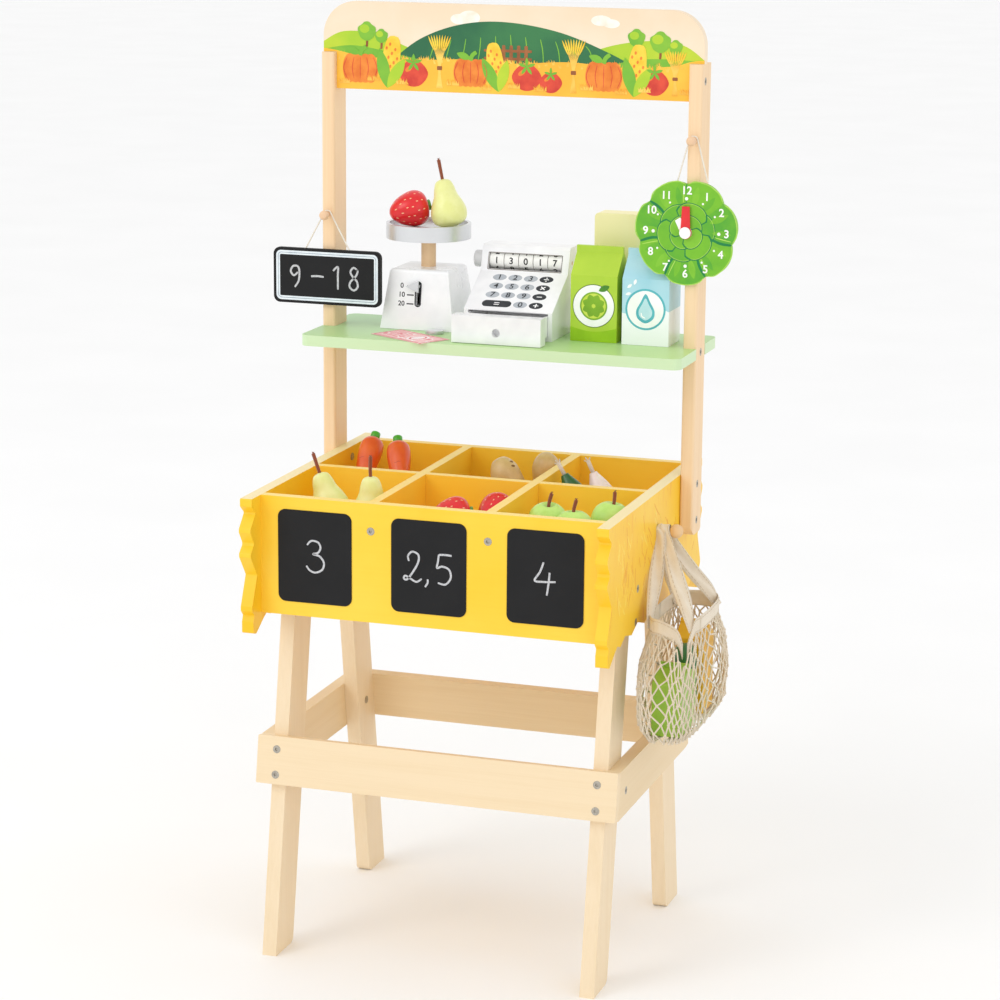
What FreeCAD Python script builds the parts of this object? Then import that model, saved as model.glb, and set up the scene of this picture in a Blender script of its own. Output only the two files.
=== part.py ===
"""Toy market stall: a wooden stand with a six-box tray, a shelf, a header board and its play set.

Millimetres. +X is the stall's right, +Y its back, +Z up. The origin is on the floor, under the
middle of the tray. Every piece is a solid of its own, written to parts/NAME.step.
"""

import FreeCAD, Part
import math
import os

V = FreeCAD.Vector
X_AXIS = V(1, 0, 0)
Y_AXIS = V(0, 1, 0)
Z_AXIS = V(0, 0, 1)

# Overall heights
stall_height = 1075.0
tray_top = 544.0

# Clearances
rest_gap = 0.2        # under a loose piece that stands on something flat
soft_gap = 0.3        # round a curved or soft piece
run_gap = 0.06        # radial clearance of a shaft in its bore
bolt_gap = 0.15       # radial clearance of a bolt in its hole

# Tray boards
tray_width = 400.0    # between the side panels
tray_depth = 340.0    # over the front and back panels
panel_t = 12.0
side_t = 14.0
side_ear = 26.0       # how far a side panel stands out past the front and back panels
front_panel_height = 136.0
divider_t = 11.0
divider_share = 0.3425 # of the way from the middle to a side panel
box_depth = 46.0      # from the tray's top to its floor
floor_t = 5.0
lap_gap = 0.1

# Wavy edges of the side panels: how far each bend lies in from the ear and down from the top
side_wave = ((0, 0), (0, 9), (11, 18), (-4, 34), (-4, 38), (5, 51), (5, 54), (-4, 62), (-4, 66), (14, 90),
             (-1, 124), (-1, 129), (5, 135), (2, 142), (2, 155), (10, 157), (30, 145), (40, 140), (52, 144),
             (70, 136), (96, 142), (120, 133), (148, 141), (172, 134), (196, 140))
side_wave_r = 2.2

# Price boards
board_width = 88.0
board_height = 106.0
board_drop = 14.0     # below the tray's top
board_share = 0.3375   # of the tray's width, from one price board to the next
board_t = 0.8
board_corner = 9.0

# Legs
leg_t = 17.0
leg_depth = 51.7      # along the floor
leg_slope = 0.1656    # run back per unit of height
foot_reach = 178.0    # from the middle to the outer edge of a foot
foot_corner = 9.0
leg_bolt_heights = (413.0, 450.0)

# Rails between the legs
rail_low = 199.0
rail_height = 55.0
long_rail_t = 12.0
side_rail_t = 15.0
rail_screw_pitch = 29.0

# Uprights
upright_t = 16.0
upright_depth = 40.0
upright_front = 94.5
upright_low = 472.0
upright_edge = 3.0
upright_foot_corner = 10.0
upright_screw_heights = (488.0, 531.0)
upright_screw_depth = 18.5

# Shelf
shelf_share = 0.27985  # of the way from the tray's top to the stall's top
shelf_t = 12.8
shelf_front = 22.0
shelf_back = 190.0
shelf_corner = 10.0

# Header board
header_t = 12.0
header_height = 59.0
header_tongue = 42.5
header_setback = 8.0
header_corner = 40.0
header_screw_rise = 23.0

# Screws and sleeve nuts
screw_shank_r = 2.0
screw_head_r = 4.5
screw_head_t = 2.4
screw_length = 26.0
nut_r = 3.4
nut_flange_r = 4.6
nut_flange_t = 0.8

# Pegs
peg_r = 3.0
peg_head_r = 5.5
peg_head_t = 6.0
peg_free = 12.5       # shaft between the upright and the head
peg_hold = 16.0       # shaft inside the wood
bag_peg_height = 500.0
bag_peg_free = 14.0
bag_ball_r = 8.0

# Hanging sign
sign_width = 136.0
sign_height = 66.0
sign_t = 5.6
sign_rise = 25.9       # from the shelf to the sign
sign_hang = 41.5       # from the sign up to its peg
sign_corner = 8.0
sign_string_half = 31.0
string_r = 0.9

# Clock
clock_r = 57.0
clock_offset = -6.0    # the clock hangs a little to one side of its peg
clock_lobe = 3.6
clock_lobes = 7
clock_t = 5.0
clock_rise = 134.4     # from the shelf to the middle of the clock
clock_hang = 104.5     # from there up to its peg
clock_string_half = 18.5
hand_t = 1.2
hand_gap = 0.3
minute_length = 30.0
minute_tip = 4.4
hour_length = 18.0
hour_tip = 3.5
hand_hub_r = 7.2
pin_r = 2.0
pin_head_r = 6.6
pin_head_t = 1.8

# Scale
scale_x = -113.0
scale_y = 142.0
scale_low_width = 92.0
scale_low_depth = 84.0
scale_top_width = 72.0
scale_top_depth = 66.0
scale_height = 71.0
scale_wall = 5.0
scale_base_t = 4.0
scale_edge = 5.0       # radius of the housing's upper edges
post_r = 8.8
post_inside = 30.0
post_free = 34.0
pan_r = 50.5
pan_t = 18.0
pan_recess = 5.0
pan_wall = 4.0
pan_travel = 18.0
slot_width = 5.0
slot_top = 56.0       # above the shelf
pointer_t = 3.0
pointer_neck = 3.6
pointer_plate = 14.0
spring_wire = 1.2
spring_r = 6.5
spring_turns = 6

# Cash register
case_x = 7.0
case_width = 108.0
case_front = 80.0
case_back = 180.0
case_wall = 5.0
case_height = 100.0
case_lip = 33.0       # height of the plain front, where the drawer closes
keypad_run = 60.0
keypad_rise = 37.0
keypad_t = 4.0
window_lean = 8.0
window_margin = 9.0
window_low = 72.0     # above the shelf
window_height = 18.5
roller_r = 11.0
roller_width = 17.0
roller_gap = 1.0
roller_count = 5
roller_depth = 14.0   # from the window's face to the axle
axle_r = 2.5
knob_r = 10.0
knob_t = 11.0
drawer_front_t = 18.0
drawer_open = 26.0
drawer_wall = 3.0
drawer_length = 92.0
drawer_height = 24.0
finger_hole_r = 4.9
finger_hole_depth = 9.0

# Cartons and cheese
carton_width = 56.0
carton_depth = 50.0
carton_shoulder = 77.0
carton_height = 109.0
juice_front = 98.0
milk_front = 95.0
fin_t = 5.0
fin_height = 8.0
juice_x = 105.5
milk_x = 168.5
cheese_x = 123.0
cheese_width = 68.0
cheese_front = 153.0
cheese_depth = 29.0
cheese_height = 143.0
cheese_corner = 5.0

# Money
note_length = 88.0
note_width = 46.0
note_t = 0.4
note_x = -104.0
note_y = 54.0
note_turn = -30.0
coin_r = 10.5
coin_t = 2.0
coin_x = -86.0
coin_y = 87.0

# Fruit and vegetables
pear_r = 21.5
pear_height = 57.0
apple_r = 22.5
apple_height = 41.0
strawberry_r = 21.5
strawberry_length = 47.0
carrot_r = 14.3
carrot_length = 74.0
potato_r = 17.5
potato_length = 56.0
onion_r = 15.0
onion_length = 50.0
stem_r = 1.5
stem_length = 19.0
pear_stem_length = 24.0

# Net bag
bag_gap = 2.0         # from the side panel to the bag
bag_thick = 74.0
bag_half_length = 106.0
bag_middle = -20.0
bag_low = 284.0
bag_mouth = 402.0
bag_gather_x = 8.0    # how much the mouth is gathered
bag_gather_y = 34.0
bag_facets = 28
bag_wall = 2.0
hem_height = 18.0
hem_t = 2.4
strap_t = 1.8
strap_width = 11.0
strap_reach = 62.0    # from the bag's middle to where a handle is sewn on

# Places worked out from the sizes above
upright_top = stall_height - header_height
header_low = upright_top - header_tongue
header_screw_height = header_low + header_screw_rise
shelf_top = tray_top + shelf_share * (stall_height - tray_top)
sign_top = shelf_top + sign_rise + sign_height
sign_peg_height = sign_top + sign_hang
clock_centre_height = shelf_top + clock_rise
clock_peg_height = clock_centre_height + clock_hang
tray_half = tray_width / 2
divider_offset = divider_share * tray_half
board_pitch = board_share * tray_width
outer_half = tray_half + side_t
stall_half = outer_half + upright_t
panel_low = tray_top - front_panel_height
tray_floor_top = tray_top - box_depth
leg_top = tray_floor_top - floor_t
upright_back = upright_front + upright_depth
upright_mid = upright_front + upright_depth / 2
upright_x = outer_half + upright_t / 2
clock_x = upright_x + clock_offset
rail_half = tray_half + side_rail_t
string_y = upright_front - rest_gap - sign_t / 2


def box(x0, x1, y0, y1, z0, z1):
    return Part.makeBox(x1 - x0, y1 - y0, z1 - z0, V(x0, y0, z0))


def rod(x, y, z, radius, length, axis):
    return Part.makeCylinder(radius, length, V(x, y, z), axis)


def prism(points, direction):
    """A solid from a closed outline of points, pushed along a vector."""
    wire = Part.makePolygon(list(points) + [points[0]])
    return Part.Face(wire).extrude(direction)


def rounded(shape, radius, axis):
    """Round the straight edges that run along an axis."""
    edges = []
    for edge in shape.Edges:
        ends = edge.Vertexes
        if len(ends) == 2 and isinstance(edge.Curve, Part.Line):
            run = ends[1].Point - ends[0].Point
            if run.Length > 1e-6 and abs(run.normalize().dot(axis)) > 0.9999:
                edges.append(edge)
    return shape.makeFillet(radius, edges)


def turned(runs):
    """A solid turned about Z from a profile that starts and ends on the axis.

    Each run is a list of (radius, height) points: two make a straight line, more a smooth curve.
    """
    edges = []
    for run in runs:
        places = [V(r, 0, z) for r, z in run]
        if len(places) == 2:
            edges.append(Part.LineSegment(places[0], places[1]).toShape())
        else:
            curve = Part.BSplineCurve()
            curve.interpolate(places)
            edges.append(curve.toShape())
    first = V(runs[0][0][0], 0, runs[0][0][1])
    last = V(runs[-1][-1][0], 0, runs[-1][-1][1])
    edges.append(Part.LineSegment(last, first).toShape())
    face = Part.Face(Part.Wire(edges))
    return face.revolve(V(0, 0, 0), Z_AXIS, 360)


def scaled(profile, radius, height):
    """A profile of shares of a radius and a height, in millimetres."""
    return [(r * radius, z * height) for r, z in profile]


def stand(shape, x, y, floor, tilt=0.0, turn=0.0, gap=soft_gap):
    """Lean a piece about X, turn it about Z, and stand it just above a floor, centred on a place."""
    piece = shape.copy()
    piece.rotate(V(0, 0, 0), X_AXIS, tilt)
    piece.rotate(V(0, 0, 0), Z_AXIS, turn)
    size = piece.optimalBoundingBox(True, False)
    piece.translate(V(x - size.Center.x, y - size.Center.y, floor + gap - size.ZMin))
    return piece


def whole(shape):
    """The one solid of a fused or cut shape, with seams between flush faces removed."""
    return shape.removeSplitter().Solids[0]


os.makedirs("parts", exist_ok=True)


def save(name, *solids):
    shape = solids[0] if len(solids) == 1 else Part.makeCompound(list(solids))
    shape.exportStep("parts/" + name + ".step")


def leg_front(z):
    """Where the front face of a front leg is at a height."""
    return -foot_reach + leg_slope * z


# Screw places: a point on the face where the head sits, and the direction that the screw goes in
leg_middle = {z: leg_front(z) + leg_depth / 2 for z in leg_bolt_heights}
rail_mid = rail_low + rail_height / 2
side_rail_bolt_y = leg_front(rail_mid) + leg_depth / 2
slope_run = math.sqrt(1 + leg_slope ** 2)
into_leg = V(0, 1 / slope_run, -leg_slope / slope_run)
panel_screws = []
side_screws = []
sleeve_places = []
for side in (-1, 1):
    inward = V(-side, 0, 0)
    for fore in (-1, 1):
        for z in leg_bolt_heights:
            y = -fore * leg_middle[z]
            side_screws.append((V(side * outer_half, y, z), inward, side_t + leg_t))
            sleeve_places.append((V(side * (tray_half - leg_t), y, z), inward))
        y = -fore * side_rail_bolt_y
        side_screws.append((V(side * rail_half, y, rail_mid), inward, side_rail_t + leg_t))
        sleeve_places.append((V(side * (tray_half - leg_t), y, rail_mid), inward))
        panel_screws.append((V(side * divider_offset, fore * tray_depth / 2, tray_top - 31.5), V(0, -fore, 0)))
    for z in upright_screw_heights:
        side_screws.append((V(side * stall_half, upright_front + upright_screw_depth, z), inward,
                            upright_t + side_t))
        if z > tray_floor_top:
            sleeve_places.append((V(side * tray_half, upright_front + upright_screw_depth, z), inward))
    for z in (shelf_top - shelf_t / 2, header_screw_height):
        deep = upright_front + header_setback + header_t / 2 if z == header_screw_height else upright_mid
        panel_screws.append((V(side * stall_half, deep, z), inward))
    for up in (-1, 1):
        z = rail_mid + up * rail_screw_pitch / 2
        for fore in (-1, 1):
            face_y = leg_front(z) - long_rail_t * slope_run
            direction = V(0, -fore * into_leg.y, into_leg.z)
            panel_screws.append((V(side * (tray_half - leg_t / 2), -fore * face_y, z), direction))

screw_cuts = []
screws = []
for place, direction in panel_screws:
    screw_cuts.append((place, direction, screw_length))
for place, direction, through in side_screws:
    screw_cuts.append((place, direction, through))
for place, direction, length in screw_cuts:
    reach = length - nut_flange_t if length != screw_length else length
    head = Part.makeCylinder(screw_head_r, screw_head_t, place, direction)
    socket = Part.makeCylinder(screw_head_r * 0.45, screw_head_t * 0.6, place, direction)
    shank = Part.makeCylinder(screw_shank_r, reach, place, direction)
    screws.append(whole(head.fuse(shank).cut(socket)))


def drilled(shape):
    """Cut the holes of every screw and sleeve nut that meets a piece."""
    for place, direction, length in screw_cuts:
        over = place - direction * 0.5
        hole = Part.makeCylinder(screw_shank_r + bolt_gap, length + 0.5 + bolt_gap, over, direction)
        sink = Part.makeCylinder(screw_head_r + bolt_gap, screw_head_t + 0.5, over, direction)
        tool = hole.fuse(sink)
        if tool.BoundBox.intersect(shape.BoundBox) and tool.common(shape).Volume > 1e-3:
            shape = shape.cut(tool)
    for place, direction in sleeve_places:
        hole = Part.makeCylinder(nut_r + bolt_gap, leg_t * 0.7, place - direction * leg_t * 0.7, direction)
        if hole.BoundBox.intersect(shape.BoundBox) and hole.common(shape).Volume > 1e-3:
            shape = shape.cut(hole)
    return shape.Solids[0]


# Sleeve nuts: flanged sleeves that the long bolts screw into, pushed in from the inner face
nuts = []
for place, direction in sleeve_places:
    sleeve = Part.makeCylinder(nut_r, leg_t * 0.65, place - direction * leg_t * 0.65, direction)
    flange = Part.makeCylinder(nut_flange_r, nut_flange_t, place, direction)
    bore = Part.makeCylinder(screw_shank_r + run_gap, leg_t, place - direction * leg_t, direction)
    nuts.append(whole(sleeve.fuse(flange).cut(bore)))
save("frame_screws", *screws)
save("sleeve_nuts", *nuts)


# Tray side panels: thick boards with wavy front and back edges, a lobe at each lower corner and
# a wavy lower edge between the lobes
side_front = -(tray_depth / 2 + side_ear)
outline_points = []
for inset, drop in side_wave:
    outline_points.append(V(0, side_front + inset, tray_top - drop))
mirror_points = []
for point in reversed(outline_points[:-1]):
    mirror_points.append(V(0, -point.y, point.z))
side_blank = prism(outline_points + mirror_points, V(side_t, 0, 0))
side_blank = rounded(side_blank, side_wave_r, X_AXIS)
bag_peg_hole = rod(-1, 0, bag_peg_height, peg_r, side_t + 2, X_AXIS)
right_panel = side_blank.copy()
right_panel.translate(V(tray_half, 0, 0))
bag_peg_hole.translate(V(tray_half, 0, 0))
right_panel = drilled(right_panel.cut(bag_peg_hole))
left_panel = side_blank.copy()
left_panel.translate(V(-outer_half, 0, 0))
left_panel = drilled(left_panel)
save("right_side_panel", right_panel)
save("left_side_panel", left_panel)

# Front and back panels, butted between the side panels
front_y = -tray_depth / 2
back_y = tray_depth / 2
front_panel = box(-tray_half, tray_half, front_y, front_y + panel_t, panel_low, tray_top)
back_panel = box(-tray_half, tray_half, back_y - panel_t, back_y, panel_low, tray_top)
save("tray_front_panel", drilled(front_panel))
save("tray_back_panel", drilled(back_panel))

# Floor of the tray, on the tops of the legs
inner_front = front_y + panel_t
inner_back = back_y - panel_t
tray_floor = box(-tray_half, tray_half, inner_front, inner_back, leg_top, tray_floor_top)
save("tray_floor", tray_floor)

# Dividers: one lengthwise and two across, halved into each other
lap_z = (tray_top + tray_floor_top) / 2
half_divider = divider_t / 2
long_divider = box(-tray_half, tray_half, -half_divider, half_divider, tray_floor_top, tray_top)
cross_dividers = []
for side in (-1, 1):
    x = side * divider_offset
    slot = box(x - half_divider - lap_gap, x + half_divider + lap_gap, -divider_t, divider_t,
               lap_z - lap_gap / 2, tray_top + 1)
    long_divider = long_divider.cut(slot)
    board = box(x - half_divider, x + half_divider, inner_front, inner_back, tray_floor_top, tray_top)
    notch = box(x - divider_t, x + divider_t, -half_divider - lap_gap, half_divider + lap_gap,
                tray_floor_top - 1, lap_z + lap_gap / 2)
    cross_dividers.append(drilled(board.cut(notch)))
save("lengthwise_divider", whole(long_divider))
save("cross_dividers", *cross_dividers)

# Three price boards on the front panel, thin and with round corners
price_boards = []
for k in (-1, 0, 1):
    x = k * board_pitch
    plate = box(x - board_width / 2, x + board_width / 2, front_y - board_t, front_y,
                tray_top - board_drop - board_height, tray_top - board_drop)
    price_boards.append(rounded(plate, board_corner, Y_AXIS))
save("price_boards", *price_boards)

# Legs: splayed boards, the outer faces against the side panels, the outer toe corner rounded
top_shift = leg_slope * leg_top
leg_outline = [V(0, -foot_reach, 0), V(0, -foot_reach + leg_depth, 0),
               V(0, -foot_reach + leg_depth + top_shift, leg_top), V(0, -foot_reach + top_shift, leg_top)]
leg_blank = prism(leg_outline, V(leg_t, 0, 0))
heel = [e for e in leg_blank.Edges if e.Vertexes[0].Point.z < 1e-6 and e.Vertexes[-1].Point.z < 1e-6
        and abs(e.Vertexes[0].Point.y + foot_reach - leg_depth) < 1e-6
        and abs(e.Vertexes[-1].Point.y + foot_reach - leg_depth) < 1e-6]
leg_blank = leg_blank.makeFillet(foot_corner, heel)
for side_name, x in (("left", -tray_half), ("right", tray_half - leg_t)):
    front_leg = leg_blank.copy()
    front_leg.translate(V(x, 0, 0))
    back_leg = front_leg.mirror(V(0, 0, 0), Y_AXIS)
    save("front_" + side_name + "_leg", drilled(front_leg))
    save("back_" + side_name + "_leg", drilled(back_leg))

# Rails: the front and back ones lie on the leaning faces of the legs, the side ones outside the legs
rail_high = rail_low + rail_height
lean = leg_slope / slope_run
upright_share = 1 / slope_run
low_point = V(0, leg_front(rail_low), rail_low)
high_point = V(0, leg_front(rail_high), rail_high)
out_of_leg = V(0, -upright_share, lean) * long_rail_t
rail_outline = [low_point, high_point, high_point + out_of_leg, low_point + out_of_leg]
front_rail = prism([p + V(-rail_half, 0, 0) for p in rail_outline], V(2 * rail_half, 0, 0))
back_rail = front_rail.mirror(V(0, 0, 0), Y_AXIS)
save("front_rail", drilled(rounded(front_rail, 1.5, out_of_leg.normalize())))
save("back_rail", drilled(back_rail))
side_rail_outline = [V(0, leg_front(rail_low), rail_low), V(0, -leg_front(rail_low), rail_low),
                     V(0, -leg_front(rail_high), rail_high), V(0, leg_front(rail_high), rail_high)]
side_rail = prism(side_rail_outline, V(side_rail_t, 0, 0))
for side_name, x in (("left", -rail_half), ("right", tray_half)):
    rail = side_rail.copy()
    rail.translate(V(x, 0, 0))
    save(side_name + "_side_rail", drilled(rail))

# Uprights: pine battens on the outside of the side panels
for side_name, side, peg_height in (("left", -1, sign_peg_height), ("right", 1, clock_peg_height)):
    x0 = min(side * outer_half, side * stall_half)
    batten = box(x0, x0 + upright_t, upright_front, upright_back, upright_low, upright_top)
    batten = rounded(batten, upright_edge, Z_AXIS)
    corner_box = box(x0 - 1, x0 + upright_t + 1, upright_front, upright_back, upright_low, upright_low + 60)
    shaped = box(x0 - 1, x0 + upright_t + 1, upright_front, upright_back, upright_low, upright_low + 80)
    toe_edges = [e for e in shaped.Edges if abs(e.Vertexes[0].Point.z - upright_low) < 1e-6
                 and abs(e.Vertexes[-1].Point.z - upright_low) < 1e-6
                 and abs(e.Vertexes[0].Point.x - e.Vertexes[-1].Point.x) > upright_t]
    shaped = shaped.makeFillet(upright_foot_corner, toe_edges)
    batten = batten.cut(corner_box.cut(shaped))
    peg_hole = rod(side * upright_x, upright_front - 1, peg_height, peg_r, peg_hold + 1, Y_AXIS)
    save(side_name + "_upright", drilled(batten.cut(peg_hole)))

# Shelf: one board with rounded corners, notched at both ends for the uprights
shelf = box(-stall_half, stall_half, shelf_front, shelf_back, shelf_top - shelf_t, shelf_top)
shelf = rounded(shelf, shelf_corner, Z_AXIS)
for side in (-1, 1):
    x0 = min(side * outer_half, side * (stall_half + 1))
    x1 = max(side * outer_half, side * (stall_half + 1))
    shelf = shelf.cut(box(x0, x1, upright_front, upright_back, shelf_top - shelf_t - 1, shelf_top + 1))
save("shelf", drilled(shelf))

# Header board: a wide top that sits on the uprights and a tongue between them
header_y = upright_front + header_setback
header = box(-stall_half, stall_half, header_y, header_y + header_t, upright_top, stall_height)
corner_edges = [e for e in header.Edges if abs(e.Vertexes[0].Point.z - stall_height) < 1e-6
                and abs(e.Vertexes[-1].Point.z - stall_height) < 1e-6
                and abs(e.Vertexes[0].Point.y - e.Vertexes[-1].Point.y) > header_t / 2]
header = header.makeFillet(header_corner, corner_edges)
tongue = box(-outer_half, outer_half, header_y, header_y + header_t, header_low, upright_top)
save("header_board", drilled(whole(header.fuse(tongue))))


# Pegs on the uprights: turned beech, a shaft with a domed head that keeps the string on
def hanging_peg(x, z):
    free_end = upright_front - peg_free
    shaft = rod(x, free_end, z, peg_r, peg_free + peg_hold, Y_AXIS)
    head = rod(x, free_end - peg_head_t, z, peg_head_r, peg_head_t, Y_AXIS)
    rim = [e for e in head.Edges if abs(e.BoundBox.YMax - (free_end - peg_head_t)) < 1e-6
           and isinstance(e.Curve, Part.Circle)]
    head = head.makeFillet(peg_head_r * 0.7, rim)
    return whole(shaft.fuse(head))


save("hanging_pegs", hanging_peg(-upright_x, sign_peg_height), hanging_peg(upright_x, clock_peg_height))

# Peg for the bag: a dowel through the side panel with a ball on its end
bag_ball_x = outer_half + bag_peg_free + bag_ball_r
dowel = rod(tray_half, 0, bag_peg_height, peg_r, bag_ball_x - tray_half, X_AXIS)
ball = Part.makeSphere(bag_ball_r, V(bag_ball_x, 0, bag_peg_height))
save("bag_peg", whole(dowel.fuse(ball)))


# A string that goes from a board over its peg and back, as straight runs and one arc over the peg
def hanging_string(x, peg_z, half, low_z):
    bend_r = peg_r + soft_gap + string_r
    drop = peg_z - low_z
    far = math.hypot(half, drop)
    swing = math.asin(bend_r / far)
    base = math.atan2(half, drop)
    lean_angle = base - swing
    touch = V(bend_r * math.cos(lean_angle), 0, bend_r * math.sin(lean_angle))
    centre = V(x, string_y, peg_z)
    left = centre + V(-touch.x, 0, touch.z)
    right = centre + V(touch.x, 0, touch.z)
    low_left = V(x - half, string_y, low_z)
    low_right = V(x + half, string_y, low_z)
    path = Part.Wire([Part.LineSegment(low_left, left).toShape(),
                      Part.Arc(left, centre + V(0, 0, bend_r), right).toShape(),
                      Part.LineSegment(right, low_right).toShape()])
    start = left - low_left
    ring = Part.Wire([Part.Circle(low_left, start, string_r).toShape()])
    tube = path.makePipeShell([ring], True, False)
    section = math.pi * string_r ** 2
    print("string", round(path.Length, 1), "bend", bend_r, "volume share",
          round(tube.Volume / section / path.Length, 3))
    return tube


# Sign: a black board with rounded corners; the string's ends go into its top edge
sign_low = sign_top - sign_height
sign_y0 = upright_front - rest_gap - sign_t
sign = box(-upright_x - sign_width / 2, -upright_x + sign_width / 2, sign_y0, sign_y0 + sign_t,
           sign_low, sign_top)
sign = rounded(sign, sign_corner, Y_AXIS)
sign_string = hanging_string(-upright_x, sign_peg_height, sign_string_half, sign_top - sign_t)
save("sign_board", sign)
save("sign_string", sign_string.cut(sign).Solids[0])

# Clock board: a rosette of lobes, each lobe an arc
lobe_points = []
for k in range(clock_lobes * 2):
    angle = math.pi * k / clock_lobes + math.pi / 2
    radius = clock_r + (clock_lobe if k % 2 else -clock_lobe * 0.6)
    lobe_points.append(V(clock_x + radius * math.cos(angle), 0, clock_centre_height + radius * math.sin(angle)))
lobe_edges = []
for k in range(0, clock_lobes * 2, 2):
    lobe_edges.append(Part.Arc(lobe_points[k], lobe_points[k + 1],
                               lobe_points[(k + 2) % (clock_lobes * 2)]).toShape())
clock_y0 = upright_front - rest_gap - (sign_t + clock_t) / 2
clock = Part.Face(Part.Wire(lobe_edges)).extrude(V(0, clock_t, 0))
clock.translate(V(0, clock_y0, 0))
pin_hole = rod(clock_x, clock_y0 - 1, clock_centre_height, pin_r, clock_t + 2, Y_AXIS)
clock_string = hanging_string(upright_x, clock_peg_height, clock_string_half,
                              clock_centre_height + clock_r - 2 * clock_lobe)
save("clock_string", clock_string.cut(clock).Solids[0])
save("clock_board", clock.cut(pin_hole).Solids[0])


# Clock hands and the pin that they turn on
def hand(length, tip_half, y0, angle):
    z = clock_centre_height
    hub = rod(clock_x, y0, z, hand_hub_r, hand_t, Y_AXIS)
    blade = prism([V(clock_x - hand_hub_r * 0.8, y0, z), V(clock_x - tip_half, y0, z + length),
                   V(clock_x + tip_half, y0, z + length), V(clock_x + hand_hub_r * 0.8, y0, z)],
                  V(0, hand_t, 0))
    bore = rod(clock_x, y0 - 1, z, pin_r + run_gap, hand_t + 2, Y_AXIS)
    piece = whole(hub.fuse(blade).cut(bore))
    piece.rotate(V(clock_x, 0, z), Y_AXIS, angle)
    return piece


hour_y = clock_y0 - hand_gap - hand_t
minute_y = hour_y - hand_gap - hand_t
save("hour_hand", hand(hour_length, hour_tip, hour_y, -33))
save("minute_hand", hand(minute_length, minute_tip, minute_y, 0))
pin_top = minute_y - hand_gap
pin = rod(clock_x, pin_top, clock_centre_height, pin_r, clock_y0 + clock_t - pin_top, Y_AXIS)
pin_head = rod(clock_x, pin_top - pin_head_t, clock_centre_height, pin_head_r, pin_head_t, Y_AXIS)
save("clock_pin", whole(pin.fuse(pin_head)))


# Scale housing: a hollow wooden block that narrows upwards, closed by a base plate
def frustum(low_w, low_d, top_w, top_d, z0, z1):
    wires = []
    for w, d, z in ((low_w, low_d, z0), (top_w, top_d, z1)):
        corners = [V(scale_x - w / 2, scale_y - d / 2, z), V(scale_x + w / 2, scale_y - d / 2, z),
                   V(scale_x + w / 2, scale_y + d / 2, z), V(scale_x - w / 2, scale_y + d / 2, z)]
        wires.append(Part.makePolygon(corners + [corners[0]]))
    return Part.makeLoft(wires, True, True)


scale_low = shelf_top + rest_gap
scale_high = scale_low + scale_height
narrowing = (scale_low_depth - scale_top_depth) / 2 / scale_height
housing = frustum(scale_low_width, scale_low_depth, scale_top_width, scale_top_depth, scale_low, scale_high)
housing = housing.makeFillet(scale_edge, [e for e in housing.Edges if e.BoundBox.ZMin > scale_low + 1e-6])
twice_wall = 2 * scale_wall
cavity = frustum(scale_low_width - twice_wall, scale_low_depth - twice_wall, scale_top_width - twice_wall,
                 scale_top_depth - twice_wall, scale_low - 0.01, scale_high - scale_wall)
slot_z1 = shelf_top + slot_top
slot_z0 = slot_z1 - pan_travel - 3 * pointer_t
slot = box(scale_x - slot_width / 2, scale_x + slot_width / 2, scale_y - scale_low_depth, scale_y,
           slot_z0, slot_z1)
post_bore = rod(scale_x, scale_y, scale_high - 2 * scale_wall, post_r + run_gap, 4 * scale_wall, Z_AXIS)
housing = housing.cut(cavity).cut(slot).cut(post_bore)
save("scale_housing", whole(housing))
base_w = scale_low_width - twice_wall - 2.5
base_d = scale_low_depth - twice_wall - 2.5
scale_base = box(scale_x - base_w / 2, scale_x + base_w / 2, scale_y - base_d / 2, scale_y + base_d / 2,
                 scale_low, scale_low + scale_base_t)
save("scale_base", scale_base)

# Scale post, pan and pointer, which move down together on a spring
post_low = scale_high - post_inside
pan_low = scale_high + post_free
post = rod(scale_x, scale_y, post_low, post_r, pan_low - post_low, Z_AXIS)
pointer_z = slot_z1 - 1.5 * pointer_t
pointer_hole = box(scale_x - pointer_neck / 2, scale_x + pointer_neck / 2, scale_y - 2 * post_r, scale_y,
                   pointer_z - pointer_t / 2, pointer_z + pointer_t / 2)
save("scale_post", post.cut(pointer_hole).Solids[0])
pan = rod(scale_x, scale_y, pan_low, pan_r, pan_t, Z_AXIS)
recess = rod(scale_x, scale_y, pan_low + pan_t - pan_recess, pan_r - pan_wall, pan_recess + 1, Z_AXIS)
save("scale_pan", pan.cut(recess))
front_at_pointer = scale_y - scale_low_depth / 2 + narrowing * (pointer_z - scale_low)
plate_back = front_at_pointer - narrowing * pan_travel - 1.2
neck = box(scale_x - pointer_neck / 2, scale_x + pointer_neck / 2, plate_back - pointer_t, scale_y,
           pointer_z - pointer_t / 2, pointer_z + pointer_t / 2)
plate = prism([V(scale_x + pointer_neck / 2, plate_back, pointer_z - pointer_plate / 2),
               V(scale_x + pointer_neck / 2, plate_back, pointer_z + pointer_plate / 2),
               V(scale_x - pointer_plate, plate_back, pointer_z)], V(0, -pointer_t, 0))
save("scale_pointer", whole(neck.fuse(plate)))

# Spring under the post: an open coil on the base plate
spring_low = scale_low + scale_base_t + spring_wire + 0.05
spring_high = post_low - spring_wire - 0.05
pitch = (spring_high - spring_low) / spring_turns
helix = Part.makeHelix(pitch, spring_high - spring_low, spring_r)
ring = Part.Wire([Part.Circle(V(spring_r, 0, 0), Y_AXIS, spring_wire).toShape()])
spring = Part.Wire(helix.Edges).makePipeShell([ring], True, True)
spring.translate(V(scale_x, scale_y, spring_low))
save("scale_spring", spring.Solids[0] if spring.Solids else spring)
print("spring gap", round(pitch - 2 * spring_wire, 2))

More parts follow.
